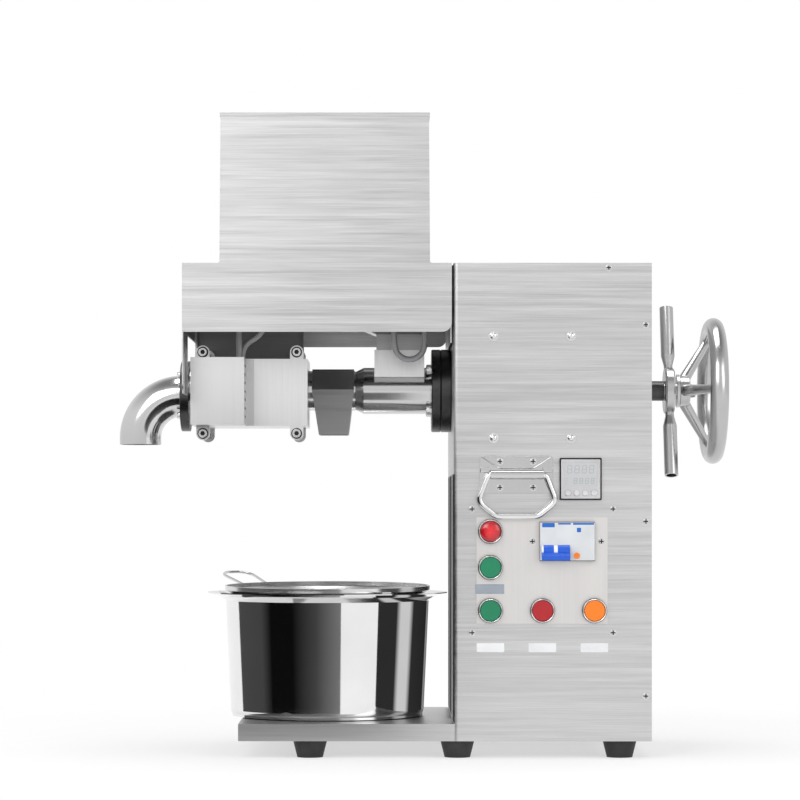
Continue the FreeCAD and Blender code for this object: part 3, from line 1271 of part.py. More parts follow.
def controls():
    hole = "button_body_radius"
    sheet_plate = box("plate_block", (PLATE_LEFT, PLATE_FRONT, "plate_bottom"),
                      (f"{PLATE_LEFT} + plate_length", FRONT, "plate_bottom + plate_height"))
    holes, rings = [], []
    ring_front = f"({PLATE_FRONT} - button_ring)"
    for name, (x, z) in list(BUTTONS.items()) + [("lamp", LAMP)]:
        holes.append(cylinder(f"{name}_hole", "Y", (x, f"{PLATE_FRONT} - {EDGE}", z),
                              f"sheet_gauge + 2 * {EDGE}", hole))
        depth = "(button_ring - 0.6)" if name != "lamp" else "2"
        well = f"(button_stem_radius + {'fit_clearance' if name != 'lamp' else '0'})"
        rings.append(lathe(f"{name}_ring", "Y", (x, ring_front, z), [
            ("button_radius + fit_clearance", "0"), ("button_ring_radius - 1.2", "0"),
            ("button_ring_radius", "1.2"), ("button_ring_radius", "button_ring"),
            (hole, "button_ring"), (hole, "button_ring + button_body"),
            (well, "button_ring + button_body"), (well, depth),
            ("button_radius + fit_clearance", depth)]))
    nose_hole = box("breaker_hole", (BREAKER_LEFT, f"{PLATE_FRONT} - {EDGE}", BREAKER_BOTTOM),
                    (f"{BREAKER_LEFT} + breaker_length", f"{FRONT} + {EDGE}",
                     f"{BREAKER_BOTTOM} + breaker_height"))
    node(cut("control_plate", sheet_plate, nose_hole, *holes), "control_plate")
    node(group("button_housings", rings), "button_housings")

    cap_front = f"({ring_front} + 0.6)"
    for name, (x, z) in BUTTONS.items():
        node(lathe(name, "Y", (x, cap_front, z), [
            ("0", "0"), ("button_radius - 0.8", "0"), ("button_radius", "0.8"),
            ("button_radius", "button_face"), ("button_stem_radius", "button_face"),
            ("button_stem_radius", "button_ring + 12"), ("0", "button_ring + 12")]), name)
    node(lathe("pilot_lamp", "Y", (LAMP[0], f"{ring_front} - 3.5", LAMP[1]), [
        ("0", "0"), ("button_radius * 0.45", "0.5"), ("button_radius * 0.8", "2.2"),
        ("button_radius", "4.6"), ("button_radius", "5.5"), ("0", "5.5")]), "pilot_lamp")

    face = f"({FRONT} - breaker_nose)"
    right = f"({BREAKER_LEFT} + breaker_length)"
    body = fuse("breaker_block",
                box("breaker_front", (BREAKER_LEFT, face, BREAKER_BOTTOM),
                    (right, IN_FRONT, f"{BREAKER_BOTTOM} + breaker_height")),
                box("breaker_rear", (BREAKER_LEFT, IN_FRONT, f"{BREAKER_BOTTOM} - breaker_skirt"),
                    (right, f"{IN_FRONT} + breaker_depth",
                     f"{BREAKER_BOTTOM} + breaker_height + breaker_skirt")))
    toggle_x = f"({BREAKER_LEFT} + toggle_inset)"
    toggle_z = f"({BREAKER_BOTTOM} + toggle_row)"
    toggle_y = f"({face} + toggle_sink)"
    slot = cylinder("breaker_slot", "X", (f"{toggle_x} - 0.4", toggle_y, toggle_z),
                    "toggle_length + 0.8", "toggle_radius + 0.3")
    test_x = f"({BREAKER_LEFT} + test_column)"
    test_z = f"({BREAKER_BOTTOM} + test_row)"
    test_hole = cylinder("breaker_test_hole", "Y", (test_x, f"{face} - {EDGE}", test_z),
                         f"5 + {EDGE}", "test_radius + fit_clearance")
    node(cut("breaker_body", body, slot, test_hole), "breaker_body")
    node(cylinder("breaker_test", "Y", (test_x, f"{face} - 1.6", test_z), "4", "test_radius"),
         "breaker_test")
    drum = cylinder("toggle_drum", "X", (toggle_x, toggle_y, toggle_z), "toggle_length",
                    "toggle_radius")
    lever = doc.addObject("Part::Box", "toggle_lever_block")
    bind(lever, Length="toggle_length", Width="toggle_lever", Height="toggle_thickness")
    lean = "toggle_rest_angle"
    place(lever, toggle_x,
          f"{toggle_y} - toggle_lever * cos({lean}) + toggle_thickness / 2 * sin({lean})",
          f"{toggle_z} - toggle_lever * sin({lean}) - toggle_thickness / 2 * cos({lean})",
          FreeCAD.Rotation(V(1, 0, 0), value(lean)))
    node(fuse("breaker_toggle", drum, lever), "breaker_toggle")


def controller():
    face = f"({FRONT} - controller_bezel)"
    left, low = CONTROL_LEFT, CONTROL_BOTTOM
    wall = "controller_wall"
    bezel = box("controller_front", (left, face, low),
                (f"{left} + controller_size", FRONT, f"{low} + controller_size"))
    soft = rounded("controller_soft", bezel, wall,
                   along(V(0, 1, 0)))
    rear = box("controller_rear", (f"{left} + {wall}", FRONT, f"{low} + {wall}"),
               (f"{left} + controller_size - {wall}", f"{FRONT} + controller_depth",
                f"{low} + controller_size - {wall}"))
    wells = []
    for i in range(4):
        x = f"{left} + key_first + key_pitch * {i}"
        z = f"{low} + key_row"
        wells.append(cylinder(f"key_well_{i}", "Y", (x, f"{face} - {EDGE}", z), f"3 + {EDGE}",
                              "key_radius + fit_clearance"))
        node(cylinder(f"controller_key_{i + 1}", "Y", (x, f"{face} - 1.2", z),
                      f"4.2 - key_travel - 0.2", "key_radius"), f"controller_key_{i + 1}")
    window = box("controller_window_recess",
                 (f"{left} + 5", f"{face} - {EDGE}", f"{low} + 16"),
                 (f"{left} + controller_size - 5", f"{face} + 0.8", f"{low} + controller_size - 5"))
    node(cut("controller_case", fuse("controller_whole", soft, rear), window, *wells),
         "controller_case")


def cable_gland():
    node(lathe("cable_gland", "Y", (f"{RIGHT} - gland_inset", f"{BACK} - 12", "gland_height"), [
        ("3.5", "0"), ("8", "0"), ("8", "12"), ("12", "12"), ("12", "18"), ("10", "19"),
        ("10", "26"), ("6.5", "33"), ("3.5", "33")]), "cable_gland")


# ---------------------------------------------------------------- carry handles

def handles():
    left = f"({LEFT} + handle_left)"
    right = f"({left} + handle_length)"
    top = "(handle_bottom + handle_height)"
    face = f"({FRONT} - sheet_gauge)"
    tube_z = "(handle_bottom + handle_tube_height)"
    tube_y = f"({face} - handle_tube_radius)"
    tube_left = f"({left} + handle_tube_inset)"
    tube_right = f"({right} - handle_tube_inset + 0.9)"
    block = box("handle_sheet", (left, face, "handle_bottom"), (right, FRONT, top))
    soft = rounded("handle_soft", block, "5", along(V(0, 1, 0)))
    curl = cylinder("handle_curl", "X", (tube_left, tube_y, tube_z),
                    f"{tube_right} - {tube_left}", "handle_tube_radius")
    web = box("handle_web", (tube_left, tube_y, f"{tube_z} + handle_tube_radius - 1.6"),
              (tube_right, face, f"{tube_z} + handle_tube_radius"))
    bore = cylinder("handle_bore", "X", (f"{tube_left} - {EDGE}", tube_y, tube_z),
                    f"{tube_right} - {tube_left} + 2 * {EDGE}", "bail_radius + 0.3")
    front = cut("handle_front", fuse("handle_joined", soft, curl, web), bore)
    node(group("handle_plates", [front, mirrored("handle_back", front)]), "handle_plates")

    y, z = value(tube_y), value(tube_z)
    x0, x1 = value(tube_left) - 3, value(tube_right) + 3
    flare, foot = value("bail_flare"), value("bail_foot")
    down, low = z - value("bail_shoulder"), z - value("bail_hang")
    middle = (x0 + x1) / 2
    corners = [V(middle, y, z), V(x1, y, z), V(x1 + flare - 5, y, down), V(x1 - foot, y, low),
               V(x0 + foot, y, low), V(x0 - flare + 5, y, down), V(x0, y, z)]
    radii = [0, 6, 12, 14, 14, 12, 6]
    path = bent_path(corners[:1] + corners[1:] + corners[:1], radii + [0])
    ring = tube(path, value("bail_radius"))
    front_bail = node(made("front_bail", ring), "front_bail")
    node(mirrored("rear_bail", front_bail), "rear_bail")


# ---------------------------------------------------------------- spindle and handwheel

STUB_END = f"({RIGHT} + stub_length)"
LOCK_START = f"({STUB_END} + lock_gap)"
LOCK_END = f"({LOCK_START} + lock_width)"
HUB_START = f"({LOCK_END} + wheel_gap + washer_width)"
WHEEL_X = f"({HUB_START} + hub_width + wheel_dish)"
SPINDLE_BORE = "(spindle_radius + 0.3)"


def spindle():
    node(lathe("spindle_nut", "X", (f"{IN_RIGHT} - stub_flange", 0, AXIS), [
        (SPINDLE_BORE, "0"), ("stub_flange_radius", "0"), ("stub_flange_radius", "stub_flange"),
        ("stub_radius", "stub_flange"), ("stub_radius", "stub_flange + sheet_gauge + stub_length"),
        (SPINDLE_BORE, "stub_flange + sheet_gauge + stub_length")]), "spindle_nut")

    node(lathe("thrust_cup", "X", (CUP_START, 0, AXIS), [
        ("0", "cup_recess"), (SPINDLE_BORE, "cup_recess"), (SPINDLE_BORE, "0"),
        ("sleeve_bore - 0.3", "0"), ("sleeve_bore - 0.3", "cup_width"), (SPINDLE_BORE, "cup_width"),
        (SPINDLE_BORE, "cup_width - cup_recess"), ("0", "cup_width - cup_recess")]), "thrust_cup")

    start = f"({CUP_START} + cup_width - cup_recess + seat_gap)"
    end = f"({HUB_START} + hub_width)"
    node(lathe("adjusting_spindle", "X", (start, 0, AXIS), [
        ("0", "0"), ("spindle_radius - 1", "0"), ("spindle_radius", "1"),
        ("spindle_radius", f"{LOCK_END} + wheel_gap - {start}"),
        ("washer_radius", f"{LOCK_END} + wheel_gap - {start}"),
        ("washer_radius", f"{HUB_START} - {start}"), ("spindle_radius", f"{HUB_START} - {start}"),
        ("spindle_radius", f"{end} - {start}"), ("wheel_nut_radius", f"{end} - {start}"),
        ("wheel_nut_radius - 1", f"{end} + wheel_nut_width - {start}"),
        ("0", f"{end} + wheel_nut_width - {start}")]), "adjusting_spindle")


def lock_lever():
    hub = lathe("lock_hub", "X", (LOCK_START, 0, AXIS), [
        (SPINDLE_BORE, "0"), ("lock_radius - 2", "0"), ("lock_radius", "2"),
        ("lock_radius", "lock_width - 2"), ("lock_radius - 2", "lock_width"),
        (SPINDLE_BORE, "lock_width")])
    arms = []
    lean = value("lever_angle")
    for i in range(2):
        arm = lathe(f"lever_arm_{i}", "Z", (0, 0, 0), [
            ("0", "lock_radius - 3"), ("lever_neck_radius", "lock_radius - 3"),
            ("lever_neck_radius", "lock_radius + 4"), ("lever_radius", "lever_neck_end"),
            ("lever_radius", "lever_reach"), ("lever_radius - 2", "lever_reach"),
            ("lever_radius - 2", "lever_reach - 14"), ("0", "lever_reach - 14")])
        turn = FreeCAD.Rotation(V(1, 0, 0), 180 * i - lean)
        place(arm, f"{LOCK_START} + lock_width / 2", 0, AXIS, turn)
        arms.append(arm)
    node(fuse("lock_lever", hub, *arms), "lock_lever")


def handwheel():
    hub = lathe("wheel_hub", "X", (HUB_START, 0, AXIS), [
        ("spindle_radius", "0"), ("hub_radius - 1", "0"), ("hub_radius", "1"),
        ("hub_radius", "hub_width - 1.5"), ("hub_radius - 1.5", "hub_width"),
        ("spindle_radius", "hub_width")])
    rim = doc.addObject("Part::Torus", "wheel_rim")
    bind(rim, Radius1="wheel_radius", Radius2="rim_radius")
    place(rim, WHEEL_X, 0, AXIS, TURN_TO["X"])
    spokes = []
    rise = value("wheel_radius - hub_radius + 3")
    run = value(f"{WHEEL_X} - ({HUB_START} + hub_width / 2)")
    tilt = math.degrees(math.atan2(run, rise))
    for i in range(3):
        spoke = doc.addObject("Part::Cone", f"wheel_spoke_{i}")
        bind(spoke, Radius1="spoke_hub_radius", Radius2="spoke_rim_radius",
             Height=f"sqrt(pow(wheel_radius - hub_radius + 3; 2)"
                    f" + pow({WHEEL_X} - ({HUB_START} + hub_width / 2); 2))")
        around = 90 + 120 * i
        turn = FreeCAD.Rotation(V(1, 0, 0), around).multiply(FreeCAD.Rotation(V(0, 1, 0), tilt))
        place(spoke, f"{HUB_START} + hub_width / 2", f"-(hub_radius - 3) * sin({around})",
              f"{AXIS} + (hub_radius - 3) * cos({around})", turn)
        spokes.append(spoke)
    core = cylinder("wheel_core", "X", (f"{HUB_START} - {EDGE}", 0, AXIS),
                    f"hub_width + 2 * {EDGE} + 8", "spindle_radius")
    node(cut("handwheel", fuse("wheel_whole", hub, rim, *spokes), core), "handwheel")


# ---------------------------------------------------------------- pot and strainer

POT_X = f"({BARREL_END} - chute_start - chute_length / 2 - pot_under_chute)"


def pot():
    wall = "pot_wall"
    rim_z = "pot_height"
    lip_z = "(pot_height + pot_lip_height)"
    body = lathe("pot_turned", "Z", (POT_X, 0, DECK), [
        ("0", "0"), ("pot_foot_radius", "0"), ("pot_radius", rim_z),
        ("pot_radius + 8", f"{rim_z} + 5.5"), ("pot_lip_radius", lip_z),
        ("pot_lip_radius", f"{lip_z} + {wall}"), (f"pot_radius + 7", f"{rim_z} + 5.5 + {wall}"),
        (f"pot_radius - {wall}", f"{rim_z} + 1"), (f"pot_foot_radius - {wall}", wall), ("0", wall)])
    low = value(DECK)
    node(rounded("pot", body, "pot_bottom_round",
                 lambda edge: edge.BoundBox.ZMax < low + 0.01
                 and edge.BoundBox.XLength > 2 * value("pot_foot_radius") - 1), "pot")


RIM_Z = f"({DECK} + pot_height + pot_lip_height + pot_wall + strainer_gap)"


def strainer():
    """A rimmed straining bowl held over the pot's lip by two clips and a bent wire handle."""
    centre = V(value(POT_X), 0, value(RIM_Z))
    outer = value("strainer_radius")
    band = value("strainer_band")
    wire = value("strainer_wire")
    wall = value("strainer_wall")
    bowl = outer - value("strainer_rim")
    depth = value("strainer_depth")
    lip = value("pot_lip_radius")
    up = V(0, 0, 1)
    rim = Part.makeCylinder(outer, band, centre, up).cut(Part.makeCylinder(bowl, band, centre, up))
    sphere = (bowl ** 2 + depth ** 2) / (2 * depth)
    middle = centre + up * (sphere - depth)
    cap = Part.makeSphere(sphere + wall, middle).cut(Part.makeSphere(sphere, middle))
    dish = cap.common(Part.makeCylinder(outer - 0.5, depth + 2 * wall + 2,
                                        centre - up * (depth + 2 * wall), up))
    angle = math.radians(value("strainer_handle_angle"))
    away = V(math.cos(angle), math.sin(angle), 0)
    side = V(-math.sin(angle), math.cos(angle), 0)
    half = value("strainer_handle_width") / 2
    reach = value("strainer_handle_length")
    rise = value("strainer_handle_rise")
    tilt = math.radians(value("strainer_tilt"))
    root = centre + up * (band / 2) + away * (outer - 2)
    hook = centre + up * (wire - lip * (1 + math.sin(angle)) * math.sin(tilt)) + away * lip
    grip = centre + up * rise + away * (outer + reach)
    wide = half + value("strainer_handle_flare")
    corners = [root + side * half, hook + side * half, grip + side * wide,
               grip - side * wide, hook - side * half, root - side * half]
    handle = tube(bent_path(corners, [0, 16, 16, 16, 16, 0]), wire)
    clips = []
    for turn in (value("strainer_clip_angle"), 180 - value("strainer_clip_angle")):
        clip = Part.makeBox(lip - outer + 2, value("strainer_clip_width"), value("strainer_clip"),
                            centre + V(outer - 3, -value("strainer_clip_width") / 2, 0))
        clip.rotate(centre, up, -turn)
        clips.append(clip)
    whole = rim.fuse([dish, handle] + clips)
    whole.rotate(centre + V(0, -lip, 0), V(1, 0, 0), value("strainer_tilt"))
    node(made("strainer", whole), "strainer")


# ---------------------------------------------------------------- leads

def lead(name, points, diameter):
    """A lead along straight runs joined by the largest arcs that they allow."""
    spots = [V(*point) for point in points]
    radii = [0.0] * len(spots)
    for i in range(1, len(spots) - 1):
        back = spots[i] - spots[i - 1]
        ahead = spots[i + 1] - spots[i]
        half_turn = back.getAngle(ahead) / 2
        radii[i] = 0.45 * min(back.Length, ahead.Length) / math.tan(half_turn)
    path = bent_path(spots, radii)
    piece = tube(path, diameter / 2)
    full = math.pi * diameter ** 2 / 4 * path.Length
    print(name, "length", round(path.Length, 1), "radii", [round(r, 1) for r in radii[1:-1]],
          "volume ratio", round(piece.Volume / full, 4))
    node(made(name, piece), name)


def leads():
    duct = value(f"{AXIS} + duct_bottom")
    box_top = value(f"{AXIS} + heater_above - 1")
    diameter = value("lead_diameter")
    lead("lead_front", [(-216.1, -90, duct), (-216.1, -90, 498), (-215.5, -91.2, 483),
                        (-215.5, -91.2, box_top)], diameter)
    lead("lead_rear", [(-186.8, -84, duct), (-186.8, -84, 504.6), (-192.5, -82.8, 494.6),
                       (-207, -81.2, 486.3), (-212.7, -80, 476.3), (-212.7, -80, box_top)],
         diameter)
    lead("lead_loop", [(-32.7, -86, duct), (-32.7, -86, 495.5), (-32.1, -85, 478.7),
                       (-25.3, -84.4, 469.4), (-14.3, -84, 465.8), (-3.4, -84.4, 469.4),
                       (3.4, -85, 478.7), (4, -86, 495.5), (4, -86, duct)], diameter)


# ---------------------------------------------------------------- build

base_pan()
feet()
cabinet()
cabinet_cover()
panel_screws()
case_heads = gearbox()
gears()
motor()
press_line()
press_screw()
oil_chute()
heated_head()
elbow()
hex_bolts(case_heads)
hood()
hopper()
controls()
controller()
cable_gland()
handles()
spindle()
lock_lever()
handwheel()
pot()
strainer()
leads()
doc.recompute()

for thing in doc.Objects:
    if "Invalid" in thing.State or "Error" in thing.State:
        raise RuntimeError(f"{thing.Label} failed: {thing.State}")
for piece in nodes:
    if piece.Shape.isNull() or not piece.Shape.isValid() or piece.Shape.Volume <= 0:
        raise RuntimeError(f"{piece.Label} has no valid solid")

os.makedirs("parts", exist_ok=True)
for piece in nodes:
    piece.Shape.exportStep(f"parts/{piece.Label}.step")
print(len(nodes), "nodes written")
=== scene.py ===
import math

import bmesh
import bpy
from mathutils import Matrix, Vector


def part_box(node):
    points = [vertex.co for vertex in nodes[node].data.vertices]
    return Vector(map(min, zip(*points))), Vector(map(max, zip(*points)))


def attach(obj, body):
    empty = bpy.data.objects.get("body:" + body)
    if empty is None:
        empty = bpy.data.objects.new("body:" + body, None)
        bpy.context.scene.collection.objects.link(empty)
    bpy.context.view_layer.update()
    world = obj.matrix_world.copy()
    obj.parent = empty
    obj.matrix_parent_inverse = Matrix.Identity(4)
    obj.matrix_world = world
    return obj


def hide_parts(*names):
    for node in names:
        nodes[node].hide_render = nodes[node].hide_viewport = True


# Screw oil press: looks for the CAD frame.  Row frame, metres: +X along the press screw
# towards the handwheel, -Y towards the operator, +Z up, origin on the floor.

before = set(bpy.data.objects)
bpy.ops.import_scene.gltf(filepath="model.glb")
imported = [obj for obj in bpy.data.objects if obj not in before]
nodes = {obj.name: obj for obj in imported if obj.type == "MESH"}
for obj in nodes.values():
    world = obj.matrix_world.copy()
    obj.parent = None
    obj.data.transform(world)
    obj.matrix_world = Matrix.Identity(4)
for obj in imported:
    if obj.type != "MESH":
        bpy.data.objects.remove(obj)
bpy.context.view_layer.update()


def centre_of(node):
    low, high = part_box(node)
    return Vector([(a + b) / 2 for a, b in zip(low, high)])


def low(node):
    return Vector(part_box(node)[0])


def high(node):
    return Vector(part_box(node)[1])


FRONT = low("cabinet_body").y
AXIS = centre_of("press_head").z
POT = centre_of("pot")

# ---------------------------------------------------------------- camera

CAMERA_PLACE = (low("cabinet_body").x - 0.076, FRONT - 3.407, 0.279)
CAMERA_LENS = 132.2

camera = bpy.data.objects.new("camera", bpy.data.cameras.new("camera"))
bpy.context.scene.collection.objects.link(camera)
camera.location = CAMERA_PLACE
camera.rotation_euler = (math.radians(90), 0, 0)
camera.data.lens = CAMERA_LENS
camera.data.sensor_width = 36
camera.data.shift_x = 0.015
camera.data.shift_y = 0.1475
camera.data.clip_end = 50
bpy.context.scene.camera = camera
bpy.context.scene.view_settings.view_transform = "Standard"

# ---------------------------------------------------------------- node helpers


class Tree:
    """A small builder for shader nodes."""

    def __init__(self, name, world=False):
        if world:
            self.owner = bpy.data.worlds.new(name)
        else:
            self.owner = bpy.data.materials.new(name)
        self.owner.use_nodes = True
        self.tree = self.owner.node_tree
        self.tree.nodes.clear()

    def add(self, kind, **values):
        made = self.tree.nodes.new(kind)
        for key, value in values.items():
            setattr(made, key, value)
        return made

    def link(self, source, target):
        self.tree.links.new(source, target)

    def math(self, operation, a, b=0.0):
        made = self.add("ShaderNodeMath", operation=operation)
        for socket, value in zip(made.inputs, (a, b)):
            if isinstance(value, (int, float)):
                socket.default_value = value
            else:
                self.link(value, socket)
        return made.outputs[0]

    def coords(self, scale):
        """Object coordinates in metres, so the scale is in marks per metre along each axis."""
        place = self.add("ShaderNodeTexCoord")
        mapping = self.add("ShaderNodeMapping")
        mapping.inputs["Scale"].default_value = scale
        self.link(place.outputs["Object"], mapping.inputs["Vector"])
        return mapping.outputs[0]

    def noise(self, vector, scale=1.0, detail=3.0, rough=0.5):
        made = self.add("ShaderNodeTexNoise")
        made.inputs["Scale"].default_value = scale
        made.inputs["Detail"].default_value = detail
        made.inputs["Roughness"].default_value = rough
        self.link(vector, made.inputs["Vector"])
        return made.outputs["Fac"]

    def ramp(self, factor, stops, smooth=False):
        made = self.add("ShaderNodeValToRGB")
        bar = made.color_ramp
        bar.interpolation = "EASE" if smooth else "LINEAR"
        while len(bar.elements) < len(stops):
            bar.elements.new(0.5)
        for element, (place, tone) in zip(bar.elements, stops):
            element.position = place
            shade = (tone, tone, tone) if isinstance(tone, (int, float)) else tone
            element.color = (*shade, 1)
        self.link(factor, made.inputs[0])
        return made.outputs[0]

    def bump(self, height, strength, distance):
        made = self.add("ShaderNodeBump")
        made.inputs["Strength"].default_value = strength
        made.inputs["Distance"].default_value = distance
        self.link(height, made.inputs["Height"])
        return made.outputs[0]

    def finish(self, shader, kind="ShaderNodeOutputMaterial"):
        self.link(shader, self.add(kind).inputs[0])
        return self.owner


def surface(tree, colour=None, rough=None, normal=None, **constants):
    """A Principled surface; sockets take a constant, or a link where one is given."""
    made = tree.add("ShaderNodeBsdfPrincipled")
    for key, value in constants.items():
        made.inputs[key.replace("_", " ").title().replace("Ior", "IOR")].default_value = value
    for name, value in (("Base Color", colour), ("Roughness", rough), ("Normal", normal)):
        if value is None:
            continue
        if isinstance(value, bpy.types.NodeSocket):
            tree.link(value, made.inputs[name])
        elif name == "Base Color":
            made.inputs[name].default_value = (*value, 1)
        else:
            made.inputs[name].default_value = value
    return made.outputs[0]


# ---------------------------------------------------------------- materials


def brushed_steel(name, tone, grain, rough, contrast, tint=(1, 1, 1)):
    """Stainless sheet with fine brush marks along one axis and broad soft clouds."""
    t = Tree(name)
    stretch = {"X": (14, 900, 900), "Y": (900, 14, 900), "Z": (900, 900, 14)}[grain]
    broad = {"X": (3, 160, 160), "Y": (160, 3, 160), "Z": (160, 160, 3)}[grain]
    fine = t.noise(t.coords(stretch), 1.0, 4.0, 0.6)
    wide = t.noise(t.coords(broad), 1.0, 2.0, 0.5)
    cloud = t.noise(t.coords((3, 3, 3)), 1.0, 1.0, 0.5)
    marks = t.math("ADD", t.math("MULTIPLY", fine, 0.55), t.math("MULTIPLY", wide, 0.45))
    shade = t.math("ADD", t.math("MULTIPLY", marks, 0.85), t.math("MULTIPLY", cloud, 0.15))
    darker = [tone * (1 - contrast) * c for c in tint]
    lighter = [min(1.0, tone * (1 + contrast)) * c for c in tint]
    colour = t.ramp(shade, [(0.34, tuple(darker)), (0.66, tuple(lighter))])
    roughness = t.ramp(marks, [(0.3, rough - 0.07), (0.7, rough + 0.07)])
    normal = t.bump(fine, 0.10, 0.0002)
    return t.finish(surface(t, colour, roughness, normal, metallic=1.0))


def polished_steel(name, tone, rough, grain=None):
    """Mirror-like stainless with faint turning marks and hazing."""
    t = Tree(name)
    scale = {None: (8, 8, 8), "X": (900, 14, 14), "Y": (14, 900, 14), "Z": (14, 14, 900)}[grain]
    haze = t.noise(t.coords((9, 9, 9)), 1.0, 3.0, 0.6)
    marks = t.noise(t.coords(scale), 1.0, 3.0, 0.5)
    colour = t.ramp(haze, [(0.3, tone * 0.95), (0.7, min(1.0, tone * 1.04))])
    roughness = t.ramp(t.math("ADD", t.math("MULTIPLY", haze, 0.5), t.math("MULTIPLY", marks, 0.5)),
                       [(0.3, max(0.03, rough - 0.03)), (0.7, rough + 0.03)])
    normal = t.bump(marks, 0.03, 0.0002)
    return t.finish(surface(t, colour, roughness, normal, metallic=1.0))


def dark_metal(name, tone, rough):
    """Black-oxided steel with faint mottling."""
    t = Tree(name)
    mottle = t.noise(t.coords((60, 60, 60)), 1.0, 5.0, 0.6)
    colour = t.ramp(mottle, [(0.3, tone * 0.75), (0.7, tone * 1.3)])
    roughness = t.ramp(mottle, [(0.3, rough - 0.06), (0.7, rough + 0.08)])
    normal = t.bump(t.noise(t.coords((900, 900, 900)), 1.0, 2.0), 0.08, 0.0003)
    return t.finish(surface(t, colour, roughness, normal, metallic=0.9))


def cast_metal(name, tone):
    t = Tree(name)
    grit = t.noise(t.coords((450, 450, 450)), 1.0, 5.0, 0.65)
    colour = t.ramp(grit, [(0.3, tone * 0.8), (0.7, tone * 1.15)])
    return t.finish(surface(t, colour, 0.62, t.bump(grit, 0.35, 0.0006), metallic=0.6))


def plastic(name, colour, rough=0.4, texture=0.08, coat=0.0, variation=0.08):
    """Moulded plastic: slight colour drift, fine erosion texture."""
    t = Tree(name)
    drift = t.noise(t.coords((25, 25, 25)), 1.0, 3.0)
    shade = t.ramp(drift, [(0.3, tuple(c * (1 - variation) for c in colour)),
                           (0.7, tuple(min(1.0, c * (1 + variation)) for c in colour))])
    grain = t.noise(t.coords((2200, 2200, 2200)), 1.0, 2.0)
    roughness = t.ramp(drift, [(0.3, rough - 0.04), (0.7, rough + 0.06)])
    return t.finish(surface(t, shade, roughness, t.bump(grain, texture, 0.0002),
                            coat_weight=coat, coat_roughness=0.08))


def rubber(name):
    tone = 0.022
    t = Tree(name)
    grain = t.noise(t.coords((700, 700, 700)), 1.0, 4.0)
    colour = t.ramp(t.noise(t.coords((40, 40, 40)), 1.0, 3.0), [(0.3, tone * 0.7), (0.7, tone * 1.6)])
    return t.finish(surface(t, colour, 0.62, t.bump(grain, 0.25, 0.0003)))


def lamp_glass(name, colour):
    """A moulded translucent lens with concentric ribs under gloss; its colour has a painted glow in the
    middle and painted shade towards the rim.
    """
    t = Tree(name)
    centre = centre_of("pilot_lamp")
    place = t.add("ShaderNodeTexCoord")
    shift = t.add("ShaderNodeVectorMath", operation="SUBTRACT")
    shift.inputs[1].default_value = centre
    t.link(place.outputs["Object"], shift.inputs[0])
    size = t.add("ShaderNodeVectorMath", operation="LENGTH")
    t.link(shift.outputs[0], size.inputs[0])
    rings = t.math("SINE", t.math("MULTIPLY", size.outputs["Value"], 5200.0))
    # painted light: the red is painted brighter at the lens middle (painted glow) and darker towards its
    # rim (painted shade)
    painted_glow_and_rim_shade = t.ramp(t.math("MULTIPLY", size.outputs["Value"], 70.0),
                  [(0.0, tuple(min(1.0, c * 1.35) for c in colour)),
                   (0.95, tuple(c * 0.45 for c in colour))])
    return t.finish(surface(t, painted_glow_and_rim_shade, 0.16, t.bump(rings, 0.12, 0.0003), coat_weight=0.6,
                            coat_roughness=0.04))


def woven_wire(name, pitch=0.0018):
    """Fine wire cloth below the strainer's rim, plain polished wire above it."""
    t = Tree(name)
    place = t.add("ShaderNodeTexCoord")
    parts = t.add("ShaderNodeSeparateXYZ")
    t.link(place.outputs["Object"], parts.inputs[0])
    waves = [t.math("ABSOLUTE", t.math("SINE", t.math("MULTIPLY", parts.outputs[axis], math.pi / pitch)))
             for axis in "XY"]
    wires = t.math("MAXIMUM", *waves)
    plain = t.math("GREATER_THAN", parts.outputs["Z"], high("pot").z + 0.0006)
    cover = t.math("MAXIMUM", wires, plain)
    colour = t.ramp(cover, [(0.70, 0.05), (0.88, 0.72)])
    haze = t.noise(t.coords((30, 30, 30)), 1.0, 3.0)
    roughness = t.ramp(haze, [(0.3, 0.14), (0.7, 0.24)])
    return t.finish(surface(t, colour, roughness, t.bump(cover, 0.5, 0.0003), metallic=0.9))


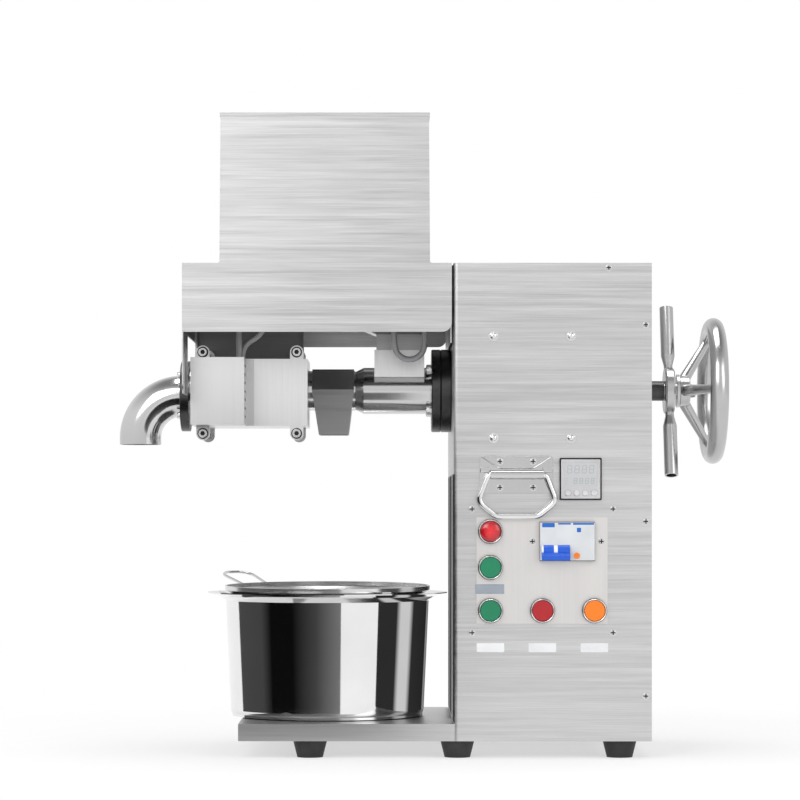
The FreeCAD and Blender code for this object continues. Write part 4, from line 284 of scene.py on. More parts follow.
MATERIALS = {
    "cloth": woven_wire("strainer_cloth"),
    "cabinet": brushed_steel("cabinet_steel", 0.60, "X", 0.38, 0.16),
    "hood": brushed_steel("hood_steel", 0.60, "X", 0.36, 0.18),
    "hopper": brushed_steel("hopper_steel", 0.57, "X", 0.36, 0.18),
    "base": brushed_steel("base_steel", 0.58, "X", 0.36, 0.10),
    "plate": brushed_steel("plate_steel", 0.72, "Z", 0.42, 0.03, (1.0, 0.975, 0.955)),
    "satin": brushed_steel("satin_steel", 0.82, "Z", 0.34, 0.05),
    "terminal": brushed_steel("terminal_steel", 0.70, "Z", 0.42, 0.03),
    # the hanger plate is the same stainless as the hood, given tone 0.22 as painted shade for the shadow
    # it stands in
    "hanger": brushed_steel("hanger_steel_painted_shade", 0.22, "X", 0.40, 0.10),
    "chute": brushed_steel("chute_steel", 0.46, "X", 0.34, 0.05),
    "pot": polished_steel("pot_steel", 0.82, 0.06),
    "bright": polished_steel("bright_steel", 0.62, 0.16, "X"),
    "elbow": polished_steel("elbow_steel", 0.66, 0.14),
    "wheel": polished_steel("wheel_steel", 0.52, 0.24),
    "wire": polished_steel("wire_steel", 0.80, 0.12),
    "fastener": polished_steel("fastener_steel", 0.74, 0.22),
    "machined": polished_steel("machined_steel", 0.55, 0.28),
    "dark": dark_metal("dark_steel", 0.07, 0.30),
    "cast": cast_metal("cast_iron", 0.24),
    "motor": cast_metal("motor_coat", 0.10),
    "rubber": rubber("rubber"),
    "duct": plastic("duct_plastic", (0.03, 0.03, 0.032), 0.5, 0.2),
    "lead": plastic("lead_sleeve", (0.30, 0.30, 0.31), 0.30, 0.1, 0.3),
    "ring": polished_steel("ring_metal", 0.82, 0.22),
    "collar": plastic("collar_plastic", (0.02, 0.02, 0.022), 0.35, 0.1),
    "breaker": plastic("breaker_plastic", (0.62, 0.64, 0.66), 0.42, 0.15),
    "breaker_white": plastic("breaker_white", (0.82, 0.82, 0.82), 0.42, 0.15),
    "blue": plastic("toggle_blue", (0.0, 0.09, 0.60), 0.28, 0.08, 0.3),
    "green": plastic("button_green", (0.0, 0.20, 0.09), 0.36, 0.06, 0.1, 0.05),
    "red": plastic("button_red", (0.40, 0.004, 0.010), 0.36, 0.06, 0.1, 0.05),
    "orange": plastic("button_orange", (0.88, 0.20, 0.004), 0.36, 0.06, 0.1, 0.05),
    "lamp": lamp_glass("lamp_red", (0.62, 0.006, 0.014)),
    "controller": plastic("controller_grey", (0.50, 0.50, 0.51), 0.4, 0.15),
    "controller_dark": plastic("controller_dark", (0.035, 0.035, 0.04), 0.35, 0.1),
    "key": plastic("key_grey", (0.58, 0.58, 0.60), 0.35, 0.1),
    "display": plastic("display_pane", (0.50, 0.51, 0.52), 0.30, 0.03, 0.2, 0.04),
    "figure": plastic("figure_segment", (0.40, 0.42, 0.43), 0.35, 0.03),
    "figure_small": plastic("figure_small", (0.36, 0.40, 0.41), 0.35, 0.03),
    "blue_band": plastic("breaker_blue", (0.01, 0.13, 0.52), 0.35, 0.05),
    "mark": plastic("breaker_mark", (0.25, 0.27, 0.30), 0.45, 0.05),
    "label": plastic("label_grey", (0.30, 0.34, 0.39), 0.45, 0.05),
    "label_white": plastic("label_white", (0.74, 0.75, 0.76), 0.45, 0.05),
}

NODE_MATERIALS = {
    "cabinet": ["cabinet_body", "cabinet_cover"],
    "hood": ["hood"],
    "hopper": ["hopper"],
    "base": ["base_pan"],
    "plate": ["control_plate"],
    "satin": ["heater_blocks", "feed_throat"],
    "terminal": ["terminal_box"],
    # hanger_plate gets the darker steel copy: painted shade
    "hanger": ["hanger_plate"],
    "chute": ["oil_chute"],
    "pot": ["pot"],
    "bright": ["feed_barrel", "press_cage", "press_head", "handle_plates"],
    "elbow": ["cake_elbow"],
    "wheel": ["handwheel", "lock_lever"],
    "wire": ["front_bail", "rear_bail"],
    "cloth": ["strainer"],
    "fastener": ["panel_screws", "hex_bolts", "heater_tie_bolts"],
    "machined": ["output_gear", "layshaft", "motor_rotor", "press_screw", "adjusting_spindle",
                 "thrust_cup", "shaft_bearings", "cartridge_heaters"],
    "dark": ["press_flanges", "spindle_nut"],
    "cast": ["gearbox_housing", "gearbox_cover"],
    "motor": ["motor_stator"],
    "rubber": ["feet", "hood_seal", "hopper_gasket"],
    "duct": ["wiring_duct", "cable_gland"],
    "lead": ["lead_front", "lead_rear", "lead_loop"],
    "ring": ["button_housings"],
    # the breaker body's black plastic paints its side walls dark as painted shade; breaker_face covers its
    # front in grey
    "collar": ["breaker_body"],
    "blue": ["breaker_toggle"],
    "green": ["heat_button", "press_button"],
    "red": ["stop_button"],
    "orange": ["clean_button", "breaker_test"],
    "lamp": ["pilot_lamp"],
    "controller": ["controller_case"],
    "key": [f"controller_key_{i}" for i in range(1, 5)],
}


def dress(obj, material):
    if not obj.material_slots:
        obj.data.materials.append(MATERIALS[material])
    for held in obj.material_slots:
        held.material = MATERIALS[material]


for material, names in NODE_MATERIALS.items():
    for name in names:
        dress(nodes[name], material)

# ---------------------------------------------------------------- leads


LEAD_DIAMETER = 0.007


def lead(node, points):
    """A sleeved lead that follows its route from part.py, in metres."""
    curve = bpy.data.curves.new(node + "_sleeve", "CURVE")
    curve.dimensions = "3D"
    curve.bevel_depth = LEAD_DIAMETER / 2
    curve.bevel_resolution = 4
    curve.use_fill_caps = True
    curve.resolution_u = 12
    spline = curve.splines.new("NURBS")
    spline.points.add(len(points) - 1)
    for spot, place in zip(spline.points, points):
        spot.co = (*place, 1)
    spline.order_u = 3
    spline.use_endpoint_u = True
    made = bpy.data.objects.new(node + "_sleeve", curve)
    bpy.context.scene.collection.objects.link(made)
    made.data.materials.append(MATERIALS["lead"])
    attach(made, "frame")
    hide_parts(node)


lead("lead_front", [(-0.2161, -0.090, 0.513), (-0.2161, -0.090, 0.498), (-0.2155, -0.0912, 0.483),
                    (-0.2155, -0.0912, 0.468)])
lead("lead_rear", [(-0.1868, -0.084, 0.513), (-0.1868, -0.084, 0.5046), (-0.1925, -0.0828, 0.4946),
                   (-0.207, -0.0812, 0.4863), (-0.2127, -0.080, 0.4763), (-0.2127, -0.080, 0.468)])
lead("lead_loop", [(-0.0327, -0.086, 0.513), (-0.0327, -0.086, 0.4955), (-0.0321, -0.085, 0.4787),
                   (-0.0253, -0.0844, 0.4694), (-0.0143, -0.084, 0.4658), (-0.0034, -0.0844, 0.4694),
                   (0.0034, -0.085, 0.4787), (0.004, -0.086, 0.4955), (0.004, -0.086, 0.513)])

# ---------------------------------------------------------------- mesh helpers


def outward(direction, spot):
    """A place on a surface: local Z points out of it, local Y up or, on a level face, back."""
    out = Vector(direction).normalized()
    up = Vector((0, 1, 0)) if abs(out.z) > 0.9 else Vector((0, 0, 1))
    across = up.cross(out).normalized()
    up = out.cross(across)
    return Matrix.Translation(spot) @ Matrix((across, up, out)).transposed().to_4x4()


ROUND = [i * 360 / 48 for i in range(48)]
FINE = [i * 360 / 96 for i in range(96)]


def circle(radius, angles=ROUND):
    """Points round a circle at the angles given, in degrees."""
    return [(radius * math.cos(math.radians(a)), radius * math.sin(math.radians(a))) for a in angles]


def hexagon(apothem, turn=0.0):
    """A hexagon with the same number of points as a circle; its flats face 30, 90, ... degrees."""
    points = []
    for a in ROUND:
        radius = apothem / math.cos(math.radians((a - turn) % 60 - 30))
        points.append((radius * math.cos(math.radians(a)), radius * math.sin(math.radians(a))))
    return points


def cross_angles(half_width, half_length):
    corner = math.degrees(math.atan2(half_width, half_length))
    return [90 * i + a for i in range(4) for a in (-corner, corner, 24, 35, 45, 55, 66)]


def cross(half_width, half_length):
    points = []
    for a in cross_angles(half_width, half_length):
        c, s = abs(math.cos(math.radians(a))), abs(math.sin(math.radians(a)))
        radius = min(half_length / max(c, s), half_width / max(min(c, s), 1e-6))
        points.append((radius * math.cos(math.radians(a)), radius * math.sin(math.radians(a))))
    return points


def rounded_box(width, height, radius, steps=5):
    points = []
    radius = max(radius, 1e-5)
    for sx, sy, start in ((1, 1, 0), (-1, 1, 90), (-1, -1, 180), (1, -1, 270)):
        for i in range(steps + 1):
            a = math.radians(start + 90 * i / steps)
            points.append((sx * (width / 2 - radius) + radius * math.cos(a),
                           sy * (height / 2 - radius) + radius * math.sin(a)))
    return points


def loft(bm, layers, place, closed=True, slots=None):
    """Skin outlines of equal length, each at its own height; closed ends get a face."""
    rows = []
    for points, height in layers:
        rows.append([bm.verts.new(place @ Vector((x, y, height))) for x, y in points])
    for number, (below, above) in enumerate(zip(rows, rows[1:])):
        for i in range(len(below)):
            j = (i + 1) % len(below)
            face = bm.faces.new((below[i], below[j], above[j], above[i]))
            if slots:
                face.material_index = slots[number]
    if closed:
        bm.faces.new(list(reversed(rows[0])))
        end = bm.faces.new(rows[-1])
        if slots:
            end.material_index = slots[-1]


def slab(bm, place, width, height, depth, radius=0.001, edge=0.0004, slot=0):
    """A rounded rectangle with an eased front edge, standing on its place."""
    layers = [(rounded_box(width, height, radius), 0.0)]
    for i in range(4):
        a = math.radians(30 * i)
        inset = edge * (1 - math.cos(a))
        layers.append((rounded_box(width - 2 * inset, height - 2 * inset, max(radius - inset, 1e-5)),
                       depth - edge + edge * math.sin(a)))
    loft(bm, layers, place, slots=[slot] * 5)


SHARP_EDGE = 35


def piece(name, bm, materials, body="frame", replaces=()):
    """Turn a bmesh into an object that rides on a body."""
    bmesh.ops.recalc_face_normals(bm, faces=bm.faces)
    mesh = bpy.data.meshes.new(name)
    bm.to_mesh(mesh)
    bm.free()
    mesh.polygons.foreach_set("use_smooth", [True] * len(mesh.polygons))
    mesh.set_sharp_from_angle(angle=math.radians(SHARP_EDGE))
    made = bpy.data.objects.new(name, mesh)
    bpy.context.scene.collection.objects.link(made)
    for material in materials:
        made.data.materials.append(MATERIALS[material])
    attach(made, body)
    if replaces:
        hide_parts(*replaces)
    return made


def islands(node):
    """The low and high corner of each separate solid of a node."""
    mesh = nodes[node].data
    spots = {}
    parent = []

    def root(i):
        while parent[i] != i:
            parent[i] = parent[parent[i]]
            i = parent[i]
        return i

    member = []
    for vertex in mesh.vertices:
        key = tuple(round(c * 1e6) for c in vertex.co)
        if key not in spots:
            spots[key] = len(parent)
            parent.append(len(parent))
        member.append(spots[key])
    for edge in mesh.edges:
        a, b = (root(member[v]) for v in edge.vertices)
        parent[a] = b
    groups = {}
    for vertex, spot in zip(mesh.vertices, member):
        groups.setdefault(root(spot), []).append(vertex.co)
    boxes = []
    for spots_of in groups.values():
        boxes.append((Vector([min(c[i] for c in spots_of) for i in range(3)]),
                      Vector([max(c[i] for c in spots_of) for i in range(3)])))
    return sorted(boxes, key=lambda box: tuple(round(c, 4) for c in box[0]))


# ---------------------------------------------------------------- fasteners


def pan_screw(bm, place, radius, height):
    """A pan head with a cross recess and a thin washer under it; the recess is painted black as painted
    shade.
    """
    width, length = 0.09 * radius * 2, 0.62 * radius
    angles = cross_angles(width, length)
    layers = [(circle(radius, angles), 0), (circle(radius, angles), 0.18 * height),
              (circle(0.80 * radius, angles), 0.24 * height),
              (circle(0.80 * radius, angles), 0.45 * height),
              (circle(0.74 * radius, angles), 0.80 * height),
              (circle(0.66 * radius, angles), height), (cross(width, length), height),
              (cross(width * 0.8, length * 0.75), 0.3 * height)]
    # slot 1, the black collar plastic, paints the walls and floor of the cross recess: painted shade
    loft(bm, layers, place, slots=[0, 0, 0, 0, 0, 0, 1, 1])


def socket_head(bm, place, radius, height, washer):
    """A cap head on a washer, with a hexagon socket painted black inside as painted shade."""
    bore = 0.50 * radius
    layers = [(circle(washer), 0), (circle(washer), 0.22 * height), (circle(radius), 0.26 * height),
              (circle(radius), 0.86 * height), (circle(0.90 * radius), height),
              (hexagon(bore), height), (hexagon(bore * 0.9), 0.45 * height)]
    # slot 1 is the black washer; slot 2 paints the socket's walls and floor black as painted shade
    loft(bm, layers, place, slots=[1, 1, 0, 0, 0, 2, 2])


def dome_head(bm, place, radius, height):
    """A bright dome nut on a flat washer."""
    layers = [(circle(radius), 0), (circle(radius), 0.20 * height),
              (hexagon(0.70 * radius, 30), 0.22 * height), (hexagon(0.70 * radius, 30), 0.46 * height)]
    for a in (0, 20, 40, 60, 80):
        dome = circle(0.66 * radius * math.cos(math.radians(a)))
        layers.append((dome, height * (0.5 + 0.5 * math.sin(math.radians(a)))))
    loft(bm, layers, place)


def hex_head(bm, place, apothem, height):
    """A chamfered hexagon head on a thin washer."""
    layers = [(circle(1.12 * apothem), 0), (circle(1.12 * apothem), 0.14 * height),
              (hexagon(apothem, 30), 0.15 * height), (hexagon(apothem, 30), 0.84 * height),
              (circle(0.93 * apothem), height), (circle(0.55 * apothem), 0.96 * height)]
    loft(bm, layers, place)


def panel_screws():
    bm = bmesh.new()
    for box_low, box_high in islands("panel_screws"):
        middle = (box_low + box_high) / 2
        front = middle.y < 0
        face = box_high.y if front else box_low.y
        pan_screw(bm, outward((0, -1 if front else 1, 0), (middle.x, face, middle.z)),
                  (box_high.x - box_low.x) / 2, box_high.y - box_low.y)
    # the black second material is painted shade in the cross recesses
    piece("panel_screw_heads", bm, ["fastener", "collar"], replaces=["panel_screws"])


def case_and_flange_bolts():
    bm = bmesh.new()
    for box_low, box_high in islands("hex_bolts"):
        middle = (box_low + box_high) / 2
        size = box_high - box_low
        if size.y < size.x:
            front = middle.y < 0
            face = box_high.y if front else box_low.y
            dome_head(bm, outward((0, -1 if front else 1, 0), (middle.x, face, middle.z)),
                      size.x / 2, size.y)
        else:
            hex_head(bm, outward((-1, 0, 0), (box_high.x, middle.y, middle.z)), size.y / 2 * 0.9,
                     size.x)
    piece("bolt_heads", bm, ["fastener"], replaces=["hex_bolts"])


def tie_bolts():
    """Long bolts clamp the two heater halves: socket heads in front, nuts at the back."""
    bm = bmesh.new()
    for box_low, box_high in islands("heater_tie_bolts"):
        middle = (box_low + box_high) / 2
        radius = (box_high.x - box_low.x) / 2
        head = 0.0055
        front = outward((0, -1, 0), (middle.x, box_low.y + head, middle.z))
        socket_head(bm, front, 0.80 * radius, head, radius)
        back = outward((0, 1, 0), (middle.x, box_high.y - head, middle.z))
        hex_head(bm, back, 0.82 * radius, head)
        shank = circle(0.5 * radius)
        loft(bm, [(shank, -0.0005), (shank, -(box_high.y - box_low.y) + 2 * head)], front)
    # the third material, black, is painted shade inside the hexagon sockets
    piece("tie_bolts", bm, ["fastener", "collar", "collar"], replaces=["heater_tie_bolts"])


panel_screws()
case_and_flange_bolts()
tie_bolts()

# ---------------------------------------------------------------- push buttons and lamp


def button_rings():
    """A black collar on the plate carries a bright front ring with a dark inner lip."""
    bm = bmesh.new()
    plate = low("control_plate").y
    cap = (high("heat_button").x - low("heat_button").x) / 2
    for box_low, box_high in islands("button_housings"):
        middle = (box_low + box_high) / 2
        outer = (box_high.x - box_low.x) / 2
        stand = plate - box_low.y
        place = outward((0, -1, 0), (middle.x, plate, middle.z))
        inner = cap + 0.0001
        layers = [(circle(outer - 0.0006, FINE), 0), (circle(outer, FINE), 0.0006),
                  (circle(outer, FINE), stand - 0.0030),
                  (circle(outer - 0.0005, FINE), stand - 0.0028),
                  (circle(outer - 0.0005, FINE), stand - 0.0012),
                  (circle(outer - 0.0009, FINE), stand - 0.0004),
                  (circle(outer - 0.0014, FINE), stand), (circle(inner + 0.0006, FINE), stand - 0.0001),
                  (circle(inner + 0.0003, FINE), stand - 0.0006), (circle(inner, FINE), stand - 0.0008),
                  (circle(inner, FINE), stand - 0.0074), (circle(inner - 0.004, FINE), stand - 0.0076)]
        loft(bm, layers, place, slots=[1, 1, 1, 0, 0, 0, 0, 0, 1, 1, 1, 1])
    piece("button_rings", bm, ["ring", "collar"], replaces=["button_housings"])


def button_cap(node, material):
    """A cap with an eased rim and a faintly dished face."""
    bm = bmesh.new()
    box_low, box_high = low(node), high(node)
    middle = (box_low + box_high) / 2
    radius = (box_high.x - box_low.x) / 2
    place = outward((0, -1, 0), (middle.x, box_low.y, middle.z))
    layers = [(circle(radius * 0.6, FINE), -0.0039), (circle(radius, FINE), -0.0037)]
    layers += [(circle(radius - 0.0009 * (1 - math.cos(math.radians(a))), FINE),
                -0.0009 + 0.0009 * math.sin(math.radians(a))) for a in (0, 30, 60, 90)]
    dish = 0.00045
    for share in (0.85, 0.6, 0.3, 0.05):
        layers.append((circle(radius * share, FINE), -dish * (1 - share ** 2)))
    loft(bm, layers, place)
    piece(node + "_cap", bm, [material], node, [node])


def lamp_lens():
    """A domed red lens with moulded rings."""
    bm = bmesh.new()
    box_low, box_high = low("pilot_lamp"), high("pilot_lamp")
    middle = (box_low + box_high) / 2
    radius = (box_high.x - box_low.x) / 2
    rise = box_high.y - box_low.y
    place = outward((0, -1, 0), (middle.x, box_high.y, middle.z))
    layers = [(circle(radius, FINE), 0), (circle(radius, FINE), 0.16 * rise)]
    for i in range(1, 15):
        a = math.radians(90 * i / 15)
        ripple = 0.00006 * (-1) ** i
        layers.append((circle(radius * math.cos(a), FINE),
                       rise * (0.16 + 0.84 * math.sin(a)) - abs(ripple) + ripple))
    loft(bm, layers, place)
    piece("lamp_lens", bm, ["lamp"], replaces=["pilot_lamp"])


button_rings()
button_cap("heat_button", "green")
button_cap("press_button", "green")
button_cap("stop_button", "red")
button_cap("clean_button", "orange")
lamp_lens()

# ---------------------------------------------------------------- controller

# across and up, in half sizes of the figure, and whether the segment lies level
SEGMENTS = [(0, 1, True), (1, 0.5, False), (1, -0.5, False), (0, -1, True), (-1, -0.5, False),
            (-1, 0.5, False), (0, 0, True)]
SEGMENT_RISE = 0.00006
DIGIT_SLANT = 0.10


def digit(bm, place, width, height, bar, slot):
    """One slanted seven-segment figure, with all its segments."""
    for across, up, level in SEGMENTS:
        x, y = across * (width - bar) / 2, up * (height - bar) / 2
        long, thick = (width - 1.4 * bar, bar) if level else (bar, (height - bar) / 2 - 0.4 * bar)
        spot = place @ Matrix.Translation((x + DIGIT_SLANT * y, y, 0))
        shape = rounded_box(long, thick, bar * 0.3, 2)
        loft(bm, [(shape, 0), (shape, SEGMENT_RISE)], spot, slots=[slot, slot])


def controller_face():
    """A thin dark frame round a pale face with two rows of figures that are switched off."""
    box_low, box_high = low("controller_case"), high("controller_case")
    width, height = box_high.x - box_low.x, box_high.z - box_low.z
    bm = bmesh.new()
    recess = 0.0008
    middle = centre_of("controller_case")
    place = outward((0, -1, 0), (middle.x, box_low.y + recess, middle.z))
    window_low = high("controller_key_1").z + 0.0030
    window_height = box_high.z - 0.0042 - window_low
    window = place @ Matrix.Translation((0, window_low + window_height / 2 - middle.z, 0))
    slab(bm, window, width - 0.0098, window_height, 0.0005, 0.0012, 0.0002, 0)
    glass = window @ Matrix.Translation((0, 0, 0.00052))
    for i in range(4):
        upper = glass @ Matrix.Translation((0.0085 * (i - 1.5), 0.0062, 0))
        digit(bm, upper, 0.0058, 0.0095, 0.0009, 1)
        lower = glass @ Matrix.Translation((0.0066 * (i - 0.9), -0.0074, 0))
        digit(bm, lower, 0.0042, 0.0068, 0.0007, 2)
    for i in range(3):
        dot = glass @ Matrix.Translation((-0.0160, -0.0104 + 0.0030 * i, 0))
        slab(bm, dot, 0.0011, 0.0011, 0.0001, 0.0005, 0.00002, 2)
    piece("controller_display", bm, ["display", "figure", "figure_small"])

    bm = bmesh.new()
    rim = place @ Matrix.Translation((0, 0, recess - 0.0006))
    inner = 0.0013
    layers = [(rounded_box(width + 0.0008, height + 0.0008, 0.0012), -0.0008),
              (rounded_box(width + 0.0008, height + 0.0008, 0.0012), 0.0002),
              (rounded_box(width, height, 0.0010), 0.0006),
              (rounded_box(width - 2 * inner, height - 2 * inner, 0.0008), 0.0006),
              (rounded_box(width - 2 * inner, height - 2 * inner, 0.0008), 0.00045)]
    loft(bm, layers, rim, closed=False)
    piece("controller_frame", bm, ["controller_dark"])


def controller_key(node):
    """A round key with a bevelled, dished top."""
    bm = bmesh.new()
    box_low, box_high = low(node), high(node)
    radius = (box_high.x - box_low.x) / 2
    place = outward((0, -1, 0), ((box_low.x + box_high.x) / 2, box_low.y, (box_low.z + box_high.z) / 2))
    layers = [(circle(radius), -0.003), (circle(radius), -0.0006), (circle(radius * 0.93), -0.0002),
              (circle(radius * 0.84), 0), (circle(radius * 0.6), -0.0002), (circle(radius * 0.2), -0.0003)]
    loft(bm, layers, place)
    piece(node + "_cap", bm, ["key"], node, [node])


controller_face()
for number in range(1, 5):
    controller_key(f"controller_key_{number}")

# ---------------------------------------------------------------- breaker


def breaker_face():
    """Module lines, a blue head band, small ports and a plain blue square."""
    box_low, box_high = low("breaker_body"), high("breaker_body")
    left, right = box_low.x, box_high.x
    face = box_low.y
    skirt = 0.0175
    bottom, top = box_low.z + skirt, box_high.z - skirt
    span, rise = right - left, top - bottom
    bm = bmesh.new()

    def at(across, up):
        return outward((0, -1, 0), (left + across * span, face - 0.0001, bottom + up * rise))

    for start, end, drop in ((0.04, 0.27, 0.115), (0.33, 0.565, 0.045), (0.60, 0.985, 0.050)):
        slab(bm, at((start + end) / 2, 0.985 - drop / 2), (end - start) * span, drop * rise, 0.00015,
             0.0008, 0.00005, 0)
    slab(bm, at(0.71, 0.80), 0.0048, 0.0052, 0.00015, 0.0005, 0.00005, 0)
    for across in (0.297, 0.585):
        slab(bm, at(across, 0.5), 0.0003, rise * 0.98, 0.00005, 0.0001, 0.00001, 1)
    # the two ports are flat black discs: painted shade standing for the shade inside the terminal openings
    for across in (0.185, 0.47):
        loft(bm, [(circle(0.00135), 0), (circle(0.00135), 0.00006)], at(across, 0.70), slots=[1, 1])
    for across, width in ((0.84, 0.0095), (0.80, 0.0070)):
        slab(bm, at(across, 0.775), width, 0.00035, 0.00005, 0.0001, 0.00001, 2)
    # a grey face over the front of the black breaker body, whose black sides are painted shade
    slab(bm, at(0.5, 0.5) @ Matrix.Translation((0, 0, -0.0002)), span - 0.0004, rise - 0.0004, 0.0003,
         0.0010, 0.0001, 3)
    piece("breaker_marks", bm, ["blue_band", "collar", "mark", "breaker"])


def toggle_gap():
    """Pale strips wrapped on the toggle's drum, between and beside its two levers."""
    box_low, box_high = low("breaker_toggle"), high("breaker_toggle")
    radius = 0.0080
    drum = Vector((0, low("breaker_body").y + 0.0030, box_high.z - radius))
    bm = bmesh.new()
    for x, width in (((box_low.x + box_high.x) / 2, 0.0042), (box_low.x + 0.0011, 0.0022)):
        rows = []
        for i in range(19):
            lift = math.radians(-22 + 84 * i / 18)
            row = []
            for reach, side in ((0.0001, -1), (0.0001, 1), (-0.0004, 1), (-0.0004, -1)):
                spot = drum + (radius + reach) * Vector((0, -math.cos(lift), math.sin(lift)))
                row.append(bm.verts.new((x + side * width / 2, spot.y, spot.z)))
            rows.append(row)
        for below, above in zip(rows, rows[1:]):
            for i in range(4):
                j = (i + 1) % 4
                bm.faces.new((below[i], below[j], above[j], above[i]))
        bm.faces.new(rows[0])
        bm.faces.new(list(reversed(rows[-1])))
    piece("toggle_gap", bm, ["breaker_white"], "breaker_toggle")


def handle_press_marks():
    """Pressed ridges in the handle's plate and the turned lip along its top."""
    box_low, box_high = islands("handle_plates")[0]
    bm = bmesh.new()
    left, right, top = box_low.x, box_high.x, box_high.z
    face = FRONT - 0.0012

    def ridge(x0, z0, x1, z1, width):
        run = Vector((x1 - x0, 0, z1 - z0))
        turn = Matrix.Rotation(math.atan2(run.z, run.x), 4, "Z")
        place = outward((0, -1, 0), ((x0 + x1) / 2, face, (z0 + z1) / 2)) @ turn
        slab(bm, place, run.length, width, 0.0011, width * 0.45, 0.0008)

    for side, edge in ((1, left), (-1, right)):
        ridge(edge + side * 0.0025, top - 0.0015, edge + side * 0.0235, top - 0.0150, 0.0016)
        slab(bm, outward((0, -1, 0), (edge + side * 0.0068, face, top - 0.0165)), 0.0120, 0.0068, 0.0016,
             0.0010, 0.0008)
    ridge(left + 0.0235, top - 0.0150, right - 0.0235, top - 0.0150, 0.0016)
    ridge(left + 0.0030, top - 0.0011, right - 0.0030, top - 0.0011, 0.0016)
    piece("handle_press_marks", bm, ["bright"])


breaker_face()
toggle_gap()
handle_press_marks()

# ---------------------------------------------------------------- label plates


def label(name, x, z, width, height, face, material):
    """A bare legend plate, glued on."""
    bm = bmesh.new()
    slab(bm, outward((0, -1, 0), (x, face, z)), width, height, 0.0003, 0.0006, 0.00015)
    piece(name, bm, [material])


LABEL_DROP = 0.0430
LABEL_SIZE = (0.032, 0.0105)
HEAT_LABEL_SIZE = (0.033, 0.0112)
for name, node in (("press", "press_button"), ("stop", "stop_button"), ("clean", "clean_button")):
    spot = centre_of(node)
    label(f"label_{name}", spot.x, spot.z - LABEL_DROP, *LABEL_SIZE, FRONT, "label_white")
upper, lower = centre_of("heat_button"), centre_of("press_button")
label("label_heat", upper.x - 0.0005, (upper.z + lower.z) / 2, *HEAT_LABEL_SIZE,
      low("control_plate").y, "label")

# ---------------------------------------------------------------- studio


def world_light():
    """A white room: bright round the horizon, darker overhead; white where seen directly."""
    t = Tree("studio", world=True)
    place = t.add("ShaderNodeTexCoord")
    parts = t.add("ShaderNodeSeparateXYZ")
    t.link(place.outputs["Generated"], parts.inputs[0])
    height = t.math("MULTIPLY", t.math("ADD", parts.outputs["Z"], 1.0), 0.5)
    tone = t.ramp(height, [(0.0, 0.8), (0.5, 0.95), (0.72, 1.05), (0.86, 0.75), (0.95, 0.35), (1.0, 0.25)])
    room = t.add("ShaderNodeBackground")
    t.link(tone, room.inputs["Color"])
    room.inputs["Strength"].default_value = 0.85
    seen = t.add("ShaderNodeBackground")
    seen.inputs["Color"].default_value = (1, 1, 1, 1)
    path = t.add("ShaderNodeLightPath")
    mix = t.add("ShaderNodeMixShader")
    t.link(path.outputs["Is Camera Ray"], mix.inputs[0])
    t.link(room.outputs[0], mix.inputs[1])
    t.link(seen.outputs[0], mix.inputs[2])
    bpy.context.scene.world = t.finish(mix.outputs[0], "ShaderNodeOutputWorld")


def softbox(name, place, aim, size, energy):
    lamp = bpy.data.lights.new(name, "AREA")
    lamp.shape = "RECTANGLE"
    lamp.size, lamp.size_y = size
    lamp.energy = energy
    holder = bpy.data.objects.new(name, lamp)
    bpy.context.scene.collection.objects.link(holder)
    holder.location = place
    holder.rotation_euler = (Vector(aim) - Vector(place)).to_track_quat("-Z", "Y").to_euler()


def mesh_object(name, verts, faces):
    mesh = bpy.data.meshes.new(name)
    mesh.from_pydata([tuple(v) for v in verts], [], faces)
    mesh.update()
    made = bpy.data.objects.new(name, mesh)
    bpy.context.scene.collection.objects.link(made)
    return made


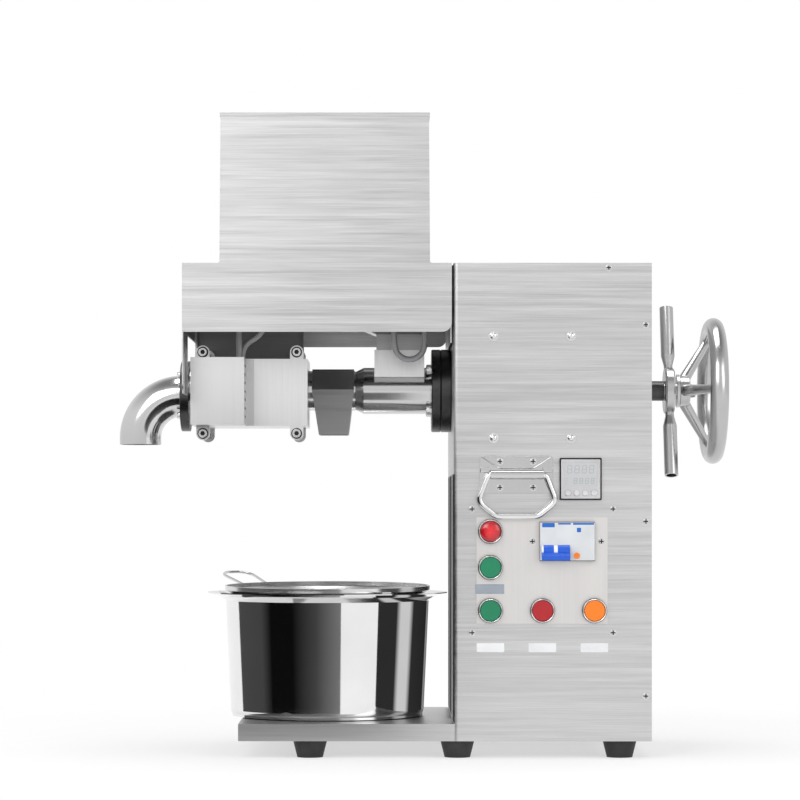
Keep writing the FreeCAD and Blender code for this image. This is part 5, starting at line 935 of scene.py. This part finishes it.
def floor():
    reach = 14.0
    made = mesh_object("studio_floor", [(-reach, -reach, 0), (reach, -reach, 0), (reach, reach, 0),
                                        (-reach, reach, 0)], [(0, 1, 2, 3)])
    t = Tree("floor_white")
    diffuse = t.add("ShaderNodeBsdfDiffuse")
    diffuse.inputs["Color"].default_value = (0.93, 0.93, 0.93, 1)
    glow = t.add("ShaderNodeEmission")
    glow.inputs["Color"].default_value = (1, 1, 1, 1)
    path = t.add("ShaderNodeLightPath")
    seen = t.math("MAXIMUM", path.outputs["Is Camera Ray"], path.outputs["Is Glossy Ray"])
    mix = t.add("ShaderNodeMixShader")
    place = t.add("ShaderNodeTexCoord")
    size = t.add("ShaderNodeVectorMath", operation="LENGTH")
    t.link(place.outputs["Object"], size.inputs[0])
    away = t.ramp(size.outputs["Value"], [(0.42, 0.55), (0.95, 1.0)], True)
    t.link(t.math("MULTIPLY", seen, away), mix.inputs[0])
    t.link(diffuse.outputs[0], mix.inputs[1])
    t.link(glow.outputs[0], mix.inputs[2])
    made.data.materials.append(t.finish(mix.outputs[0]))


def card(name, spots, bottom, top, stops):
    """A standing card that only polished metal shows; its tone runs along its length."""
    verts, faces = [], []
    for spot in spots:
        verts += [(spot[0], spot[1], bottom), (spot[0], spot[1], top)]
    for i in range(len(spots) - 1):
        faces.append((2 * i, 2 * i + 2, 2 * i + 3, 2 * i + 1))
    made = mesh_object(name, verts, faces)
    lengths = made.data.attributes.new("along", "FLOAT", "POINT")
    for i in range(len(spots)):
        lengths.data[2 * i].value = lengths.data[2 * i + 1].value = i / (len(spots) - 1)
    t = Tree(name + "_tone")
    along = t.add("ShaderNodeAttribute", attribute_name="along")
    glow = t.add("ShaderNodeEmission")
    t.link(t.ramp(along.outputs["Fac"], stops), glow.inputs["Color"])
    made.data.materials.append(t.finish(glow.outputs[0]))
    made.visible_camera = False
    made.visible_diffuse = False
    made.visible_shadow = False
    made.visible_transmission = False
    made.visible_volume_scatter = False


def reflection_cards():
    """Dark flags round the pot, as a studio sets them for polished steel."""
    radius, first, last = 0.40, -104, 14
    spots = []
    for i in range(49):
        angle = math.radians(first + (last - first) * i / 48)
        spots.append((POT.x + radius * math.sin(angle), -radius * math.cos(angle)))
    card("front_flag", spots, 0.0, 0.36,
         [(0.0, 0.07), (0.30, 0.06), (0.40, 0.004), (0.60, 0.004), (0.80, 0.06), (1.0, 0.20)])
    wall = low("cabinet_body").x - 0.002
    card("wall_flag", [(wall, -0.154), (wall, 0.154)], 0.042, 0.33,
         [(0.0, 0.03), (0.20, 0.03), (0.24, 0.7), (0.32, 0.7), (0.36, 0.03), (0.60, 0.02), (0.64, 0.30),
          (1.0, 0.02)])


world_light()
floor()
reflection_cards()
softbox("key", (-1.3, -2.4, 1.9), (0, 0, 0.35), (1.6, 1.6), 30)
softbox("fill", (1.9, -1.9, 1.3), (0, 0, 0.3), (1.2, 1.6), 12)
softbox("top", (0.0, 0.1, 2.3), (0, 0, 0), (1.2, 1.2), 22)
